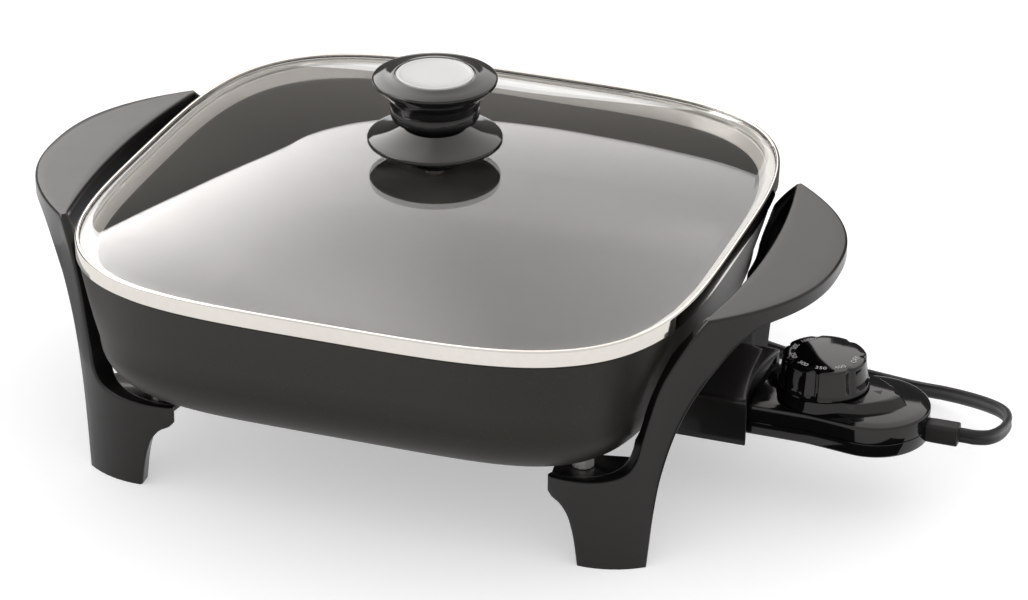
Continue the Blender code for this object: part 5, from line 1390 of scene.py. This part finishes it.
def makeControl(look):
    # rows of (inset from the plan, height)
    wall, seam, top, bottom = look["wall"], look["seam"], look["top"], look["bottom"]
    domeBase = top + look["crown"]
    domeTop = domeBase + look["domeHeight"]
    upper = loftRings("controlTop", [controlOutline(look, *row) for row in (
        (wall, top - wall), (wall, seam + 0.00015), (0.0003, seam + 0.00015), (0, seam + 0.0004),
        (0, top - 0.0010), (0.0002, top - 0.0005), (0.0007, top - 0.0001), (0.0013, top + 0.0001),
        (0.0030, top + 0.0006), (0.0048, domeBase))])
    dome = loftRings("controlDome", [domeOutline(look, *row) for row in (
        (-0.0004, top + 0.0002), (-0.0001, domeBase + 0.0001), (0.0002, domeBase + 0.0006),
        (0.0014, domeTop - 0.0010), (0.0016, domeTop - 0.0005), (0.0021, domeTop - 0.0001),
        (0.0027, domeTop))])
    for piece in (dome, upper):
        cutAway(piece, addCylinder(look["shaftHole"], 0.045, 0.07, (panX + look["dialX"], 0)))
    lower = loftRings("controlBase", [controlOutline(look, *row) for row in (
        (0.0016, bottom), (0.0008, bottom + 0.0002), (0.0002, bottom + 0.0008), (0, bottom + 0.0014),
        (0, seam - 0.0004), (0.0003, seam - 0.00015), (wall, seam - 0.00015), (wall, bottom + wall))])
    for side in (-1, 1):
        place = (panX + look["screwX"], side * look["screwY"])
        cutAway(lower, addCylinder(look["screwHole"], holeLow, bottom + wall, place, 24))
    holes = [(0, look["probeHole"]), (look["terminalY"], look["terminalHole"]),
             (-look["terminalY"], look["terminalHole"])]
    front = panX + look["start"]
    for y, radius in holes:
        for piece in (upper, lower):
            cutAway(piece, addRod(radius, front - 0.008, front + 0.004, look["probeLevel"], y))
    (near, left, low), (far, right, high) = look["cordLow"], look["cordHigh"]
    for piece in (upper, lower):
        cutAway(piece, addBlock((panX + near, left, low), (panX + far, right, high)))
    joinPieces(upper, dome)
    smooth(upper, 30)
    smooth(lower, 30)
    return upper, lower


def makePointer(look):
    # the index mark on the dome, pointing at the dial
    deselectAll()
    bpy.ops.mesh.primitive_circle_add(vertices=3, fill_type="NGON")
    mark = bpy.context.object
    mark.name = "indexMark"
    height = look["top"] + look["crown"] + look["domeHeight"]
    for vert, (x, y) in zip(mark.data.vertices, look["mark"]):
        vert.co = (panX + x, y, height)
    applyModifier(mark, "SOLIDIFY", thickness=look["markHeight"], offset=1)
    faceOut(mark)
    return mark


upper, lower = makeControl(controlLook)
mark = makePointer(controlLook)
dress(upper, made["glossBlack"], "control", "black_moulding", "control_upper_housing")
dress(lower, made["glossBlack"], "control", "black_moulding", "control_lower_housing")
dress(mark, made["softRubber"], "control", "rubber")
print("control made")


# Strain relief

reliefLook = {
    "height": 0.0414, "power": 7,
    # places along x, with the half width and half height there
    "sections": [(0.2384, 0.0060, 0.0034), (0.2404, 0.0060, 0.0034), (0.2407, 0.0038, 0.0048),
                 (0.2436, 0.0039, 0.0049), (0.2470, 0.0040, 0.0050), (0.2570, 0.0040, 0.0050),
                 (0.2577, 0.0039, 0.0049), (0.2580, 0.0035, 0.0045)],
}


def makeRelief(look):
    rings = [blockRing(panX + x, 0, look["height"], wide, tall, look["power"], 56)
             for x, wide, tall in look["sections"]]
    relief = loftRings("strainRelief", rings)
    smooth(relief, 30)
    return relief


relief = makeRelief(reliefLook)
dress(relief, made["softRubber"], "control", "rubber", "strain_relief")


# Dial

dialLook = {"x": 0.1926, "base": 0.0572, "height": 0.0144, "crown": 0.0006, "top": 0.0196, "foot": 0.0216,
            "bore": 0.0034, "flutes": 7, "fluteDepth": 0.0013, "fluteHalf": math.radians(8.75),
            "phase": math.radians(-89), "numberReach": 0.0150, "numberSize": 0.0037, "wordSize": 0.0028,
            "printHeight": 0.00003}
# generic heat settings and where each stands, in degrees
dialWords = [("OFF", -6), ("400", -47), ("350", -82), ("300", -117), ("250", -152), ("200", -187),
             ("WARM", -226)]


def dialRing(look, radius, z, depth):
    ring = []
    count = 168
    spread = 2 * math.pi / look["flutes"]
    for k in range(count):
        turn = 2 * math.pi * k / count
        off = (turn - look["phase"] + spread / 2) % spread - spread / 2
        reach = radius
        if abs(off) < look["fluteHalf"]:
            reach -= depth * math.cos(math.pi / 2 * off / look["fluteHalf"]) ** 2
        ring.append((panX + look["x"] + reach * math.cos(turn), reach * math.sin(turn), z))
    return ring


def makeDial(look):
    base, top = look["base"], look["base"] + look["height"]
    foot, edge, depth = look["foot"], look["top"], look["fluteDepth"]
    lean = foot - edge - 0.0004
    # rows of (radius, height, depth of the flutes)
    rows = [(look["bore"], base + 0.009, 0), (look["bore"], base, 0), (foot - 0.0003, base, 0),
            (foot, base + 0.0003, 0), (foot, base + 0.0010, 0),
            (foot - 0.0004, base + 0.0014, depth * 0.2)]
    for share in (0.15, 0.3, 0.5, 0.7, 0.88):
        rows.append((foot - 0.0004 - lean * min(1, share * 1.25), base + look["height"] * share, depth))
    rows += [(edge, top - 0.0010, depth), (edge - 0.0002, top - 0.0005, depth),
             (edge - 0.0006, top - 0.0001, depth * 0.9), (edge - 0.0012, top + 0.0001, depth * 0.7),
             (edge * 0.80, top + 0.0003, 0), (edge * 0.55, top + 0.0005, 0),
             (edge * 0.25, top + look["crown"], 0)]
    dial = loftRings("dialKnob", [dialRing(look, *row) for row in rows])
    smooth(dial, 30)
    return dial


def makeNumbers(look):
    # round the top, read from the dial's middle outwards
    pieces = []
    reach, height = look["numberReach"], look["base"] + look["height"] + look["crown"] * 0.80
    for word, degrees in dialWords:
        deselectAll()
        bpy.ops.object.text_add()
        text = bpy.context.object
        text.data.body = word
        text.data.size = look["numberSize"] if len(word) < 4 else look["wordSize"]
        text.data.align_x = "CENTER"
        text.data.align_y = "CENTER"
        text.data.extrude = look["printHeight"]
        pick(text)
        bpy.ops.object.convert(target="MESH")
        number = bpy.context.object
        turn = math.radians(degrees)
        number.location = (panX + look["x"] + reach * math.cos(turn), reach * math.sin(turn), height)
        number.rotation_euler = (0, 0, turn + math.pi / 2)
        settle(number)
        pieces.append(number)
    numbers = joinPieces(*pieces)
    numbers.name = "dialNumbers"
    return numbers


dial = makeDial(dialLook)
numbers = makeNumbers(dialLook)
dress(dial, made["glossBlack"], "dial", "black_moulding", "dial_knob")
dress(numbers, made["whitePrint"], "dial", "ceramic")
print("dial made")


# Small parts that keep their shape and get a better finish

kept = {
    "screwSteel": ("leg_screw_left_front", "leg_screw_left_rear", "leg_screw_right_front",
                   "leg_screw_right_rear", "guard_screw_front", "guard_screw_rear", "knob_washer",
                   "knob_screw", "housing_screw_front", "housing_screw_rear", "probe_rod", "switch_frame",
                   "dial_shaft", "terminal_pin_front", "terminal_pin_rear"),
    "brushedAluminium": ("leg_spacer_left_front", "leg_spacer_left_rear", "leg_spacer_right_front",
                         "leg_spacer_right_rear"),
    "elementSheath": ("heating_element",),
    "whiteCeramic": ("terminal_bushing_front", "terminal_bushing_rear", "switch_block"),
    "yellowBrass": ("female_terminal_front", "female_terminal_rear", "contact_arm", "fixed_contact"),
    "paleSilicone": ("lid_seal",),
    "softRubber": ("knob_gasket_under",),
}
for finish, names in kept.items():
    for name in names:
        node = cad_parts[name]
        node.data.materials.clear()
        node.data.materials.append(made[finish])
print("small parts finished")

deselectAll()
